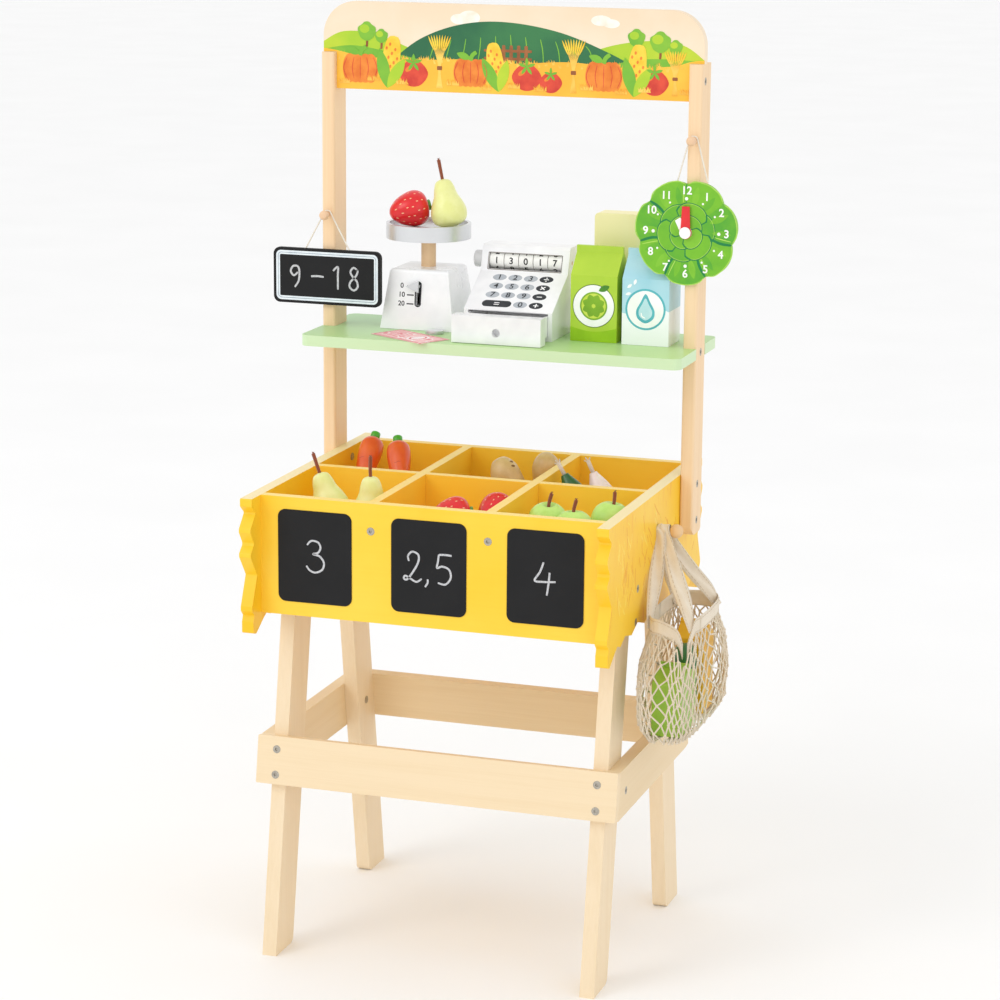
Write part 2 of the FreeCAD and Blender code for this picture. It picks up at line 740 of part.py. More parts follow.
# Cash register case: two cheeks, a back, a top, a floor and a window over the rollers
case_low = shelf_top + rest_gap
case_left = case_x - case_width / 2
case_right = case_x + case_width / 2
lip_z = case_low + case_lip
keypad_top_y = case_front + keypad_run
keypad_top_z = lip_z + keypad_rise
case_top = case_low + case_height
window_top_y = keypad_top_y + window_lean
profile = [V(0, case_front, case_low), V(0, case_front, lip_z), V(0, keypad_top_y, keypad_top_z),
           V(0, window_top_y, case_top - 3), V(0, window_top_y + 3, case_top), V(0, case_back, case_top),
           V(0, case_back, case_low)]
case = prism([p + V(case_left, 0, 0) for p in profile], V(case_width, 0, 0))
inner = [V(0, case_front - 1, case_low + case_wall), V(0, case_front - 1, lip_z - 1),
         V(0, case_front + 3, lip_z - 1), V(0, keypad_top_y + 2, keypad_top_z - case_wall),
         V(0, window_top_y + 3, case_top - case_wall),
         V(0, case_back - case_wall, case_top - case_wall), V(0, case_back - case_wall, case_low + case_wall)]
hollow = prism([p + V(case_left + case_wall, 0, 0) for p in inner], V(case_width - 2 * case_wall, 0, 0))
case = case.cut(hollow)
window_z0 = case_low + window_low
window = box(case_left + window_margin, case_right - window_margin, case_front, window_top_y + 4,
             window_z0, window_z0 + window_height)
case = case.cut(window)
keypad_cut = [V(0, case_front - 1, lip_z + 0.5), V(0, case_front + 4, lip_z + 0.5),
              V(0, keypad_top_y + 2, keypad_top_z - keypad_t + 1), V(0, keypad_top_y - 1, keypad_top_z + 6),
              V(0, case_front - 1, lip_z + 6)]
roller_y = keypad_top_y + (window_low + window_height / 2 - case_lip - keypad_rise) * 0.25 + roller_depth
roller_z = window_z0 + window_height / 2
axle_holes = rod(case_left - 1, roller_y, roller_z, axle_r + run_gap, case_width + 2, X_AXIS)
case = case.cut(axle_holes)

# Keypad panel: a board let into the slope between the cheeks
slope = V(0, keypad_run, keypad_rise)
slope_length = slope.Length
slope.normalize()
normal = V(0, -slope.z, slope.y)
keypad_margin = 5.0
key_start = V(0, case_front, lip_z) + slope * 3
key_end = V(0, case_front, lip_z) + slope * (slope_length - 3)
keypad_seat = [key_start, key_end, key_end - normal * keypad_t, key_start - normal * keypad_t]
seat = prism([p + V(case_left + keypad_margin, 0, 0) for p in keypad_seat],
             V(case_width - 2 * keypad_margin, 0, 0))
keypad = prism([p + V(case_left + keypad_margin, 0, 0) for p in keypad_seat],
               V(case_width - 2 * keypad_margin, 0, 0))
case = case.cut(seat)
save("register_case", max(case.Solids, key=lambda s: s.Volume))
save("keypad_panel", keypad)

# Number rollers on their axle, with the knob that turns them
rollers = []
roll_length = roller_count * roller_width + (roller_count - 1) * roller_gap
for k in range(roller_count):
    x = case_x - roll_length / 2 + k * (roller_width + roller_gap)
    drum = rod(x, roller_y, roller_z, roller_r, roller_width, X_AXIS)
    rollers.append(drum.cut(rod(x - 1, roller_y, roller_z, axle_r, roller_width + 2, X_AXIS)))
save("number_rollers", *rollers)
knob_gap = 0.4
axle_left = case_left - knob_gap - knob_t * 0.8
axle = rod(axle_left, roller_y, roller_z, axle_r, case_right - axle_left, X_AXIS)
save("roller_axle", axle)
knob = rod(case_left - knob_gap - knob_t, roller_y, roller_z, knob_r, knob_t, X_AXIS)
knob_rim = [e for e in knob.Edges if isinstance(e.Curve, Part.Circle)]
knob = knob.makeFillet(1.2, knob_rim)
knob = knob.cut(rod(axle_left, roller_y, roller_z, axle_r, knob_t * 2, X_AXIS))
save("roller_knob", knob.Solids[0])

# Cash drawer: a front board with a finger hole, and an open tray behind it
drawer_gap = 0.4
drawer_face = case_front - drawer_open - drawer_front_t
front_board = box(case_left, case_right, drawer_face, drawer_face + drawer_front_t,
                  case_low + drawer_gap, lip_z - 0.5)
finger_hole = rod(case_x, drawer_face - 1, case_low + case_lip * 0.42, finger_hole_r,
                  finger_hole_depth + 1, Y_AXIS)
save("drawer_front", front_board.cut(finger_hole))
tray_x0 = case_left + case_wall + drawer_gap
tray_x1 = case_right - case_wall - drawer_gap
tray_z0 = case_low + case_wall + drawer_gap
tray_y0 = drawer_face + drawer_front_t
drawer = box(tray_x0, tray_x1, tray_y0, tray_y0 + drawer_length, tray_z0, tray_z0 + drawer_height)
scoop = box(tray_x0 + drawer_wall, tray_x1 - drawer_wall, tray_y0 + drawer_wall,
            tray_y0 + drawer_length - drawer_wall, tray_z0 + drawer_wall, tray_z0 + drawer_height + 1)
save("drawer_tray", drawer.cut(scoop))


# Gable-topped cartons: solid wooden blocks shaped like drink cartons
def carton(x, front):
    z = shelf_top + rest_gap
    back = front + carton_depth
    mid = (front + back) / 2
    outline = [V(0, front, z), V(0, front, z + carton_shoulder),
               V(0, mid - fin_t / 2, z + carton_height - fin_height), V(0, mid - fin_t / 2, z + carton_height),
               V(0, mid + fin_t / 2, z + carton_height), V(0, mid + fin_t / 2, z + carton_height - fin_height),
               V(0, back, z + carton_shoulder), V(0, back, z)]
    return prism([p + V(x - carton_width / 2, 0, 0) for p in outline], V(carton_width, 0, 0))


save("juice_carton", carton(juice_x, juice_front))
save("milk_carton", carton(milk_x, milk_front))

# Cheese block with rounded edges
cheese_low = shelf_top + rest_gap
cheese = box(cheese_x - cheese_width / 2, cheese_x + cheese_width / 2, cheese_front,
             cheese_front + cheese_depth, cheese_low, cheese_low + cheese_height)
cheese = rounded(cheese, cheese_corner, Y_AXIS)
save("cheese_block", cheese)

# Banknote and coins in front of the scale
note = box(-note_length / 2, note_length / 2, -note_width / 2, note_width / 2, 0, note_t)
note.rotate(V(0, 0, 0), Z_AXIS, note_turn)
note.translate(V(note_x, note_y, shelf_top + rest_gap))
save("banknote", note)
coins = []
for k, (dx, dy) in enumerate(((0, 0), (1.5, -1.0))):
    coins.append(rod(coin_x + dx, coin_y + dy, shelf_top + rest_gap + k * (coin_t + 0.05), coin_r, coin_t,
                     Z_AXIS))
save("coins", *coins)

# Turned wooden fruit and vegetables, standing on their base at z = 0
pear_line = [(0.40, 0), (0.86, 0.10), (1, 0.28), (0.88, 0.47), (0.66, 0.65), (0.55, 0.82), (0.38, 0.95), (0, 1)]
pear_body = turned([[(0, 0), (0.40 * pear_r, 0)], scaled(pear_line, pear_r, pear_height)])
pear_stem = rod(0, 0, pear_height - 2 * stem_r, stem_r, pear_stem_length + 2 * stem_r, Z_AXIS)
pear = whole(pear_body.fuse(pear_stem))
apple_line = [(0, 0.10), (0.18, 0.04), (0.38, 0), (0.80, 0.18), (1, 0.50), (0.85, 0.82), (0.45, 1), (0.2, 0.96),
              (0, 0.88)]
apple_body = turned([scaled(apple_line, apple_r, apple_height)])
apple_stem = rod(0, 0, apple_height * 0.85, stem_r, stem_length, Z_AXIS)
apple = whole(apple_body.fuse(apple_stem))
strawberry_line = [(0, 0), (0.35, 0.06), (0.75, 0.28), (0.98, 0.60), (0.92, 0.82), (0.60, 0.97), (0, 1)]
strawberry_body = turned([scaled(strawberry_line, strawberry_r, strawberry_length)])
strawberry_cap = rod(0, 0, strawberry_length * 0.95, strawberry_r * 0.30, strawberry_length * 0.12, Z_AXIS)
strawberry = whole(strawberry_body.fuse(strawberry_cap))
carrot_line = [(0.32, 0), (0.70, 0.30), (0.93, 0.60), (1, 0.78), (0.92, 0.91), (0.66, 0.98), (0.42, 1)]
carrot_body = turned([[(0, 0), (0.32 * carrot_r, 0)], scaled(carrot_line, carrot_r, carrot_length),
                      [(0.42 * carrot_r, carrot_length), (0, carrot_length)]])
carrot_top = rod(0, 0, carrot_length * 0.97, carrot_r * 0.40, carrot_length * 0.15, Z_AXIS)
carrot = whole(carrot_body.fuse(carrot_top))
potato_line = [(0, 0), (0.55, 0.05), (0.95, 0.28), (1, 0.50), (0.93, 0.75), (0.50, 0.96), (0, 1)]
potato = turned([scaled(potato_line, potato_r, potato_length)])
onion_line = [(0, 0), (0.60, 0.06), (1, 0.36), (0.80, 0.65), (0.40, 0.92), (0.30, 1)]
onion_body = turned([scaled(onion_line, onion_r, onion_length), [(0.30 * onion_r, onion_length), (0, onion_length)]])
onion_stem = rod(0, 0, onion_length * 0.93, stem_r * 1.6, stem_length, Z_AXIS)
onion = whole(onion_body.fuse(onion_stem))

# Places in the tray: a box is named by its column and row, a place in it by shares of half its size
bed = tray_floor_top
cell_half = (divider_offset - half_divider, (tray_half - divider_offset - half_divider) / 2)
row_half = (inner_back - half_divider) / 2


def in_box(shape, column, row, across, along, tilt, turn):
    half_x = cell_half[abs(column)]
    x = column * (divider_offset + half_divider + half_x) + across * half_x
    y = row * (half_divider + row_half) + along * row_half
    return stand(shape, x, y, bed, tilt, turn)


save("pears", in_box(pear, -1, -1, -0.206, -0.043, 20, -90), in_box(pear, -1, -1, 0.60, -0.04, 3, -30))
save("strawberries", in_box(strawberry, 0, -1, 0.0, -0.11, 80, 115), in_box(strawberry, 0, -1, 0.65, 0.31, 78, 170))
save("apples", in_box(apple, 1, -1, -0.41, -0.08, 8, 40), in_box(apple, 1, -1, 0.19, -0.41, 6, 200),
     in_box(apple, 1, -1, 0.62, 0.285, 10, 120))
save("carrots", in_box(carrot, -1, 1, -0.556, 0.134, -45, 0), in_box(carrot, -1, 1, 0.127, 0.0, -45, 25))
save("potatoes", in_box(potato, 0, 1, 0.14, 0.0, 28, -90), in_box(potato, 0, 1, 0.70, 0.53, 20, 0),
     in_box(potato, 0, 1, -0.476, -0.48, 85, 90))
save("salad_onions", in_box(onion, 1, 1, -0.15, -0.21, 25, -90), in_box(onion, 1, 1, -0.61, -0.416, 30, -90))

# Strawberry and pear on the scale's pan
pan_bed = pan_low + pan_t - pan_recess
save("scale_strawberry", stand(strawberry, scale_x - 0.40 * pan_r, scale_y - 0.11 * pan_r, pan_bed, 78, 120))
save("scale_pear", stand(pear, scale_x + 0.53 * pan_r, scale_y - 0.08 * pan_r, pan_bed, 12, -90))

# Net bag: an open-topped shell with rounded ends, that hangs beside the tray
bag_x0 = outer_half + bag_gap
bag_mid_x = bag_x0 + bag_thick / 2
mouth_x = bag_thick / 2 - bag_gather_x
mouth_y = bag_half_length - bag_gather_y


def bag_ring(z, half_x, half_y):
    """A closed outline between an ellipse and a rectangle."""
    points = []
    for k in range(bag_facets):
        angle = 2 * math.pi * k / bag_facets
        c = math.cos(angle)
        d = math.sin(angle)
        x = bag_mid_x + half_x * math.copysign(abs(c) ** 0.6, c)
        y = bag_middle + half_y * math.copysign(abs(d) ** 0.6, d)
        points.append(V(x, y, z))
    return Part.makePolygon(points + [points[0]])


def bag_loft(inset, low):
    half_x = bag_thick / 2 - inset
    half_y = bag_half_length - inset
    deep = bag_mouth - bag_low
    rings = [bag_ring(low, half_x * 0.68, half_y * 0.85),
             bag_ring(bag_low + 0.12 * deep, half_x * 0.95, half_y * 0.96),
             bag_ring(bag_low + 0.42 * deep, half_x, half_y),
             bag_ring(bag_low + 0.71 * deep, half_x * 0.96, half_y * 0.94),
             bag_ring(bag_mouth, mouth_x - inset, mouth_y - inset)]
    return Part.makeLoft(rings, True, True)


bag_outer = bag_loft(0, bag_low)
bag_lid = Part.Face(bag_ring(bag_mouth - 0.5, mouth_x - bag_wall, mouth_y - bag_wall)).extrude(V(0, 0, 2))
bag_net = bag_outer.cut(bag_loft(bag_wall, bag_low + bag_wall)).cut(bag_lid)
save("bag_net", max(bag_net.Solids, key=lambda s: s.Volume))

# Canvas hem round the mouth and two handles over the peg
hem_outer = Part.Face(bag_ring(bag_mouth, mouth_x, mouth_y)).extrude(V(0, 0, hem_height))
hem_hole = Part.Face(bag_ring(bag_mouth, mouth_x - hem_t, mouth_y - hem_t)).extrude(V(0, 0, hem_height))
canvas = hem_outer.cut(hem_hole)
hem_high = bag_mouth + hem_height
for k, x_low in enumerate((bag_mid_x - mouth_x + strap_width, bag_mid_x + mouth_x - strap_width)):
    strap_x0 = outer_half + 1.2
    bend = peg_r + soft_gap + k * (strap_t + 0.2)
    outer_bend = bend + strap_t
    loop = rod(strap_x0, 0, bag_peg_height, outer_bend, strap_width, X_AXIS)
    loop = loop.cut(rod(strap_x0 - 1, 0, bag_peg_height, bend, strap_width + 2, X_AXIS))
    loop = loop.cut(box(strap_x0 - 1, strap_x0 + strap_width + 1, -50, 50, bag_peg_height - 50, bag_peg_height))
    canvas = canvas.fuse(loop)
    for fore in (-1, 1):
        foot_y = bag_middle + fore * strap_reach
        y0 = min(fore * bend, fore * outer_bend)
        top = [V(strap_x0, y0, bag_peg_height), V(strap_x0 + strap_width, y0, bag_peg_height),
               V(strap_x0 + strap_width, y0 + strap_t, bag_peg_height), V(strap_x0, y0 + strap_t, bag_peg_height)]
        half_w = strap_width / 2
        low_z = hem_high - hem_height * 0.6
        low = [V(x_low - half_w, foot_y, low_z), V(x_low + half_w, foot_y, low_z),
               V(x_low + half_w, foot_y + strap_t, low_z), V(x_low - half_w, foot_y + strap_t, low_z)]
        leg = Part.makeLoft([Part.makePolygon(top + [top[0]]), Part.makePolygon(low + [low[0]])], True, True)
        canvas = canvas.fuse(leg)
save("bag_canvas", whole(canvas))

# What the bag holds: two cartons and a cucumber, standing on its bottom
pack_low = bag_low + bag_wall + rest_gap
pack_room = bag_mouth - bag_low
pack_x = bag_thick / 2 * 0.46


def packed(y0, y1, high):
    """A carton in the bag, placed by shares of the bag's half length and its depth."""
    return box(bag_mid_x - pack_x, bag_mid_x + pack_x, bag_middle + y0 * bag_half_length,
               bag_middle + y1 * bag_half_length, pack_low, pack_low + high * pack_room)


lime_box = packed(-0.68, -0.08, 0.66)
yellow_box = packed(0.25, 0.66, 0.90)
cucumber = rod(bag_mid_x, bag_middle + 0.085 * bag_half_length, pack_low, 0.13 * bag_half_length, 0.74 * pack_room,
               Z_AXIS)
save("bag_contents", lime_box, yellow_box, cucumber)
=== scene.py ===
"""Toy market stall in Blender: materials, prints, play food, net bag and the studio around the CAD frame."""
import bmesh
import bpy
import math
import random
from mathutils import Matrix, Vector


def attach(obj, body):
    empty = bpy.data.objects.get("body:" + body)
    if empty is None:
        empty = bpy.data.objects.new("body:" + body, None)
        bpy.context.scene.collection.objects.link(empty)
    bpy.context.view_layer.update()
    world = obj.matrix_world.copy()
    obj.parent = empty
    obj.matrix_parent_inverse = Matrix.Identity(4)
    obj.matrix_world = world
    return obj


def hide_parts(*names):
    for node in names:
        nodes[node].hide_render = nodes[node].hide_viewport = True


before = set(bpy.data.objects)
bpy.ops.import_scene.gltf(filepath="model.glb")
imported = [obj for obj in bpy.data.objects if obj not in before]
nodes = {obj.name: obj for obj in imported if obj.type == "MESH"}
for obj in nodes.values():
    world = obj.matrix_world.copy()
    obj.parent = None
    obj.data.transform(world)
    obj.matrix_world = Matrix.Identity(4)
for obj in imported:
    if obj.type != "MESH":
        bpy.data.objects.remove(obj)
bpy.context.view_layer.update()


# Camera
# The camera stands where the photograph's straight edges say, 3.4 m off and slightly to the right.
camera_place = (1.08127, -3.18911, 1.28844)
camera_aim = (-0.30625, 0.92542, -0.22316)
camera_roll = 0.483
camera_data = bpy.data.cameras.new("camera")
camera = bpy.data.objects.new("camera", camera_data)
bpy.context.collection.objects.link(camera)
forward = Vector(camera_aim).normalized()
level = forward.cross(Vector((0, 0, 1))).normalized()
upward = level.cross(forward)
roll = math.radians(camera_roll)
right = level * math.cos(roll) + upward * math.sin(roll)
top = upward * math.cos(roll) - level * math.sin(roll)
camera.matrix_world = Matrix.Translation(camera_place) @ Matrix(
    (right, top, -forward)).transposed().to_4x4()
camera_data.lens = 107.88
camera_data.sensor_width = 36
bpy.context.scene.camera = camera
bpy.context.scene.view_settings.view_transform = "Standard"


# Colours and shader nodes
def lin(code, alpha=1.0):
    """A #rrggbb colour as linear values."""
    parts = [int(code[i:i + 2], 16) / 255 for i in (1, 3, 5)]
    return tuple(c / 12.92 if c <= 0.04045 else ((c + 0.055) / 1.055) ** 2.4 for c in parts) + (alpha,)


def add(tree, kind, inputs=None, **props):
    """Add a shader node, set its properties, and set or link its inputs."""
    made = tree.nodes.new("ShaderNode" + kind)
    for key, value in props.items():
        setattr(made, key, value)
    for key, value in (inputs or {}).items():
        socket = made.inputs[key]
        if isinstance(value, bpy.types.NodeSocket):
            tree.links.new(value, socket)
        else:
            socket.default_value = value
    return made


def material(name, roughness=0.5, **sockets):
    made = bpy.data.materials.new(name)
    made.use_nodes = True
    shader = made.node_tree.nodes["Principled BSDF"]
    shader.inputs["Roughness"].default_value = roughness
    for key, value in sockets.items():
        shader.inputs[key.replace("_", " ")].default_value = value
    return made, made.node_tree, shader


def stretched(tree, scale, turn=(0, 0, 0)):
    """Object coordinates scaled by different amounts along X, Y and Z."""
    place = add(tree, "TexCoord").outputs["Object"]
    return add(tree, "Mapping", {"Vector": place, "Scale": scale, "Rotation": turn}).outputs[0]


def cloud(tree, scale, detail=3.0, roughness=0.5, vector=None, distortion=0.0):
    vector = vector or stretched(tree, (1, 1, 1))
    return add(tree, "TexNoise", {"Vector": vector, "Scale": scale, "Detail": detail,
                                  "Roughness": roughness, "Distortion": distortion}).outputs[0]


def ramp(tree, value, *stops):
    """A colour ramp from (position, colour) stops."""
    made = add(tree, "ValToRGB", {"Fac": value})
    bar = made.color_ramp.elements
    while len(bar) < len(stops):
        bar.new(0.5)
    for element, (place, colour) in zip(bar, stops):
        element.position = place
        element.color = lin(colour) if isinstance(colour, str) else (colour, colour, colour, 1)
    return made.outputs[0]


def mix(tree, factor, a, b, how="MIX"):
    made = add(tree, "Mix", data_type="RGBA", blend_type=how)
    for index, value in ((0, factor), (6, a), (7, b)):
        if isinstance(value, bpy.types.NodeSocket):
            tree.links.new(value, made.inputs[index])
        else:
            made.inputs[index].default_value = lin(value) if isinstance(value, str) else value
    return made.outputs[2]


def bump(tree, shader, height, strength=0.2, distance=0.0004):
    made = add(tree, "Bump", {"Height": height, "Strength": strength, "Distance": distance})
    tree.links.new(made.outputs[0], shader.inputs["Normal"])


def tint(tree, shader, colour):
    tree.links.new(colour, shader.inputs["Base Color"])


def gloss(tree, shader, value, low, high):
    """Let the roughness go between two amounts."""
    made = add(tree, "MapRange", {"Value": value, "To Min": low, "To Max": high})
    tree.links.new(made.outputs[0], shader.inputs["Roughness"])


def calc(tree, how, a, b):
    return add(tree, "Math", {0: a, 1: b}, operation=how).outputs[0]


def rise(tree, value, low, high):
    """0 where the value is low, 1 where it is high."""
    return add(tree, "MapRange", {"Value": value, "From Min": low, "From Max": high}).outputs[0]


def split(tree, kind="Object"):
    """X, Y and Z of the object's coordinates, or of its normals."""
    return add(tree, "SeparateXYZ", {0: add(tree, "TexCoord").outputs[kind]}).outputs


def facing_up(tree, low=0.75, high=0.95):
    """1 on faces that look up, 0 elsewhere, in the object's own axes."""
    return rise(tree, split(tree, "Normal")[2], low, high)


def wood(name, light, dark, axis, rough=0.5, streak=60, strength=0.30):
    """Planed softwood: fine fibres and broad growth bands that run along one axis."""
    made, tree, shader = material(name, rough, Specular_IOR_Level=0.35)
    fine = [420] * 3
    fine[axis] = 9
    broad = [streak] * 3
    broad[axis] = 2.2
    fibres = cloud(tree, 1.0, 5, 0.65, stretched(tree, fine), 0.3)
    bands = cloud(tree, 1.0, 2.5, 0.5, stretched(tree, broad), 0.8)
    tone = ramp(tree, calc(tree, "MULTIPLY", calc(tree, "ADD", fibres, bands), 0.5),
                (0.34, dark), (0.56, light), (0.70, light))
    base = mix(tree, strength, light, tone)
    knots = add(tree, "TexVoronoi", {"Vector": stretched(tree, [v * 0.10 for v in broad]), "Scale": 2.2})
    spot = ramp(tree, knots.outputs["Distance"], (0.0, 0.86), (0.07, 1.0))
    tint(tree, shader, mix(tree, 0.5, base, mix(tree, 1.0, base, spot, "MULTIPLY")))
    gloss(tree, shader, fibres, rough - 0.08, rough + 0.12)
    bump(tree, shader, fibres, 0.25, 0.0003)
    return made


def paint(name, colour, shade, rough=0.38, axis=0, pale=None):
    """Paint on board: slow changes of tone, a trace of the grain, and, given pale, a painted highlight that makes faces
    on top edges paler.
    """
    made, tree, shader = material(name, rough, Specular_IOR_Level=0.4)
    grain = [260] * 3
    grain[axis] = 8
    fibres = cloud(tree, 1.0, 4, 0.6, stretched(tree, grain), 0.2)
    slow = cloud(tree, 7.0, 3, 0.5)
    tone = mix(tree, ramp(tree, slow, (0.35, 0.0), (0.68, 1.0)), colour, shade)
    tone = mix(tree, 0.10, tone, mix(tree, fibres, "#6b5a30", "#ffffff"), "SOFT_LIGHT")
    # pale: a painted highlight, a lighter colour on faces that look up, standing in for light from above.
    if pale:
        tone = mix(tree, calc(tree, "MULTIPLY", facing_up(tree), 0.6), tone, pale)
    tint(tree, shader, tone)
    gloss(tree, shader, slow, rough - 0.06, rough + 0.10)
    bump(tree, shader, fibres, 0.10, 0.0002)
    return made


def ink(name, colour, shade, scale=60.0, rough=0.45):
    """Printed colour: two close tones in soft patches, as in a painted picture."""
    made, tree, shader = material(name, rough, Specular_IOR_Level=0.35)
    tint(tree, shader, mix(tree, ramp(tree, cloud(tree, scale, 3, 0.55), (0.38, 0.0), (0.64, 1.0)), colour, shade))
    bump(tree, shader, cloud(tree, 1500, 2), 0.04, 0.0001)
    return made


def dress(material_made, *names):
    """Give CAD nodes a material."""
    for name in names:
        for place in nodes[name].material_slots:
            place.material = material_made


# Mesh helpers
def flip_out(made):
    shape = bmesh.new()
    shape.from_mesh(made.data)
    bmesh.ops.recalc_face_normals(shape, faces=shape.faces)
    shape.to_mesh(made.data)
    shape.free()
    return made


class Build:
    """Collects points and faces of several shapes into one piece."""

    def __init__(self):
        self.verts = []
        self.faces = []
        self.mats = []

    def put(self, verts, faces, mat=0, move=None):
        base = len(self.verts)
        self.verts += [move(Vector(v)) if move else Vector(v) for v in verts]
        self.faces += [tuple(base + i for i in f) for f in faces]
        self.mats += [mat] * len(faces)

    def make(self, name, mats, body, smooth=True):
        """One mesh object that rides on a body."""
        mesh = bpy.data.meshes.new(name)
        mesh.from_pydata([tuple(v) for v in self.verts], [], self.faces)
        mesh.validate()
        for m in mats:
            mesh.materials.append(m)
        for polygon, index in zip(mesh.polygons, self.mats):
            polygon.material_index = index
            polygon.use_smooth = smooth
        made = bpy.data.objects.new(name, mesh)
        bpy.context.collection.objects.link(made)
        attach(made, body)
        return made


def turned(profile, sides=48):
    """Points and faces of a closed turned shape from (radius, height) pairs, axis ends included."""
    verts = []
    faces = []
    rows = []
    for r, z in profile:
        if r < 1e-6:
            rows.append([len(verts)])
            verts.append((0, 0, z))
        else:
            rows.append(list(range(len(verts), len(verts) + sides)))
            verts += [(r * math.cos(2 * math.pi * k / sides), r * math.sin(2 * math.pi * k / sides), z)
                      for k in range(sides)]
    for a, b in zip(rows, rows[1:]):
        for k in range(sides):
            n = (k + 1) % sides
            if len(a) == 1 and len(b) > 1:
                faces.append((a[0], b[n], b[k]))
            elif len(b) == 1 and len(a) > 1:
                faces.append((a[k], a[n], b[0]))
            elif len(a) > 1:
                faces.append((a[k], a[n], b[n], b[k]))
    return verts, faces


def smooth_line(points, steps=8, closed=False):
    """Points along a smooth line through the given points."""
    pts = [Vector(p) for p in points]
    out = []
    count = len(pts)
    for i in range(count if closed else count - 1):
        a = pts[(i - 1) % count] if closed or i else pts[0]
        b = pts[i]
        c = pts[(i + 1) % count]
        d = pts[(i + 2) % count] if closed or i + 2 < count else pts[-1]
        for k in range(steps):
            t = k / steps
            out.append(0.5 * ((2 * b) + (c - a) * t + (2 * a - 5 * b + 4 * c - d) * t * t
                              + (3 * b - a - 3 * c + d) * t ** 3))
    if not closed:
        out.append(pts[-1])
    return out


def rope(points, radius, sides=8, taper=None):
    """Points and faces of a round tube along points; taper gives the radius share at each end."""
    verts = []
    faces = []
    pts = [Vector(p) for p in points]
    side = None
    for i, p in enumerate(pts):
        run = (pts[min(i + 1, len(pts) - 1)] - pts[max(i - 1, 0)]).normalized()
        if side is None:
            side = run.orthogonal().normalized()
        side = (side - run * side.dot(run)).normalized()
        other = run.cross(side)
        share = 1.0 if taper is None else taper[0] + (taper[1] - taper[0]) * i / (len(pts) - 1)
        for k in range(sides):
            angle = 2 * math.pi * k / sides
            verts.append(p + (side * math.cos(angle) + other * math.sin(angle)) * radius * share)
    for i in range(len(pts) - 1):
        for k in range(sides):
            n = (k + 1) % sides
            faces.append((i * sides + k, i * sides + n, (i + 1) * sides + n, (i + 1) * sides + k))
    faces.append(tuple(reversed(range(sides))))
    faces.append(tuple(range((len(pts) - 1) * sides, len(pts) * sides)))
    return verts, faces


# Flat shapes for prints
def ellipse(x, y, rx, ry=None, turn=0.0, count=40):
    ry = ry or rx
    c = math.cos(turn)
    s = math.sin(turn)
    out = []
    for k in range(count):
        a = 2 * math.pi * k / count
        px = rx * math.cos(a)
        py = ry * math.sin(a)
        out.append((x + px * c - py * s, y + px * s + py * c))
    return out


def round_box(x0, y0, x1, y1, r, count=8):
    out = []
    for cx, cy, start in ((x1 - r, y0 + r, -90), (x1 - r, y1 - r, 0), (x0 + r, y1 - r, 90), (x0 + r, y0 + r, 180)):
        for k in range(count + 1):
            a = math.radians(start + 90 * k / count)
            out.append((cx + r * math.cos(a), cy + r * math.sin(a)))
    return out


def blob(points, steps=6):
    """A smooth closed outline through points."""
    return [(p.x, p.y) for p in smooth_line([Vector((x, y, 0)) for x, y in points], steps, True)]


def leaf(x, y, length, width, turn, count=14):
    """A pointed leaf that starts at (x, y) and points along an angle in degrees."""
    a = math.radians(turn)
    out = []
    for side in (1, -1):
        steps = range(count + 1) if side > 0 else range(count - 1, 0, -1)
        for k in steps:
            t = k / count
            w = side * width * 0.5 * math.sin(math.pi * t) ** 0.8
            out.append((x + length * t * math.cos(a) - w * math.sin(a),
                        y + length * t * math.sin(a) + w * math.cos(a)))
    return out


class Strip(list):
    """An outline that runs out along one side and back along the other."""


def stroke(points, width, ends=0.5, steps=7):
    """A brush or chalk stroke of a width along a smooth line; ends is the share of width there."""
    line = smooth_line([Vector((x, y, 0)) for x, y in points], steps)
    left = []
    back = []
    last = len(line) - 1
    for i, p in enumerate(line):
        run = (line[min(i + 1, last)] - line[max(i - 1, 0)]).normalized()
        t = i / last
        w = width * 0.5 * (ends + (1 - ends) * math.sin(math.pi * t) ** 0.35)
        left.append((p.x - run.y * w, p.y + run.x * w))
        back.append((p.x + run.y * w, p.y - run.x * w))
    return Strip(left + back[::-1])


def ring_strip(outer, inner):
    """Quads between two outlines with the same number of points."""
    count = len(outer)
    return list(outer) + list(inner), [(k, (k + 1) % count, count + (k + 1) % count, count + k)
                                       for k in range(count)]


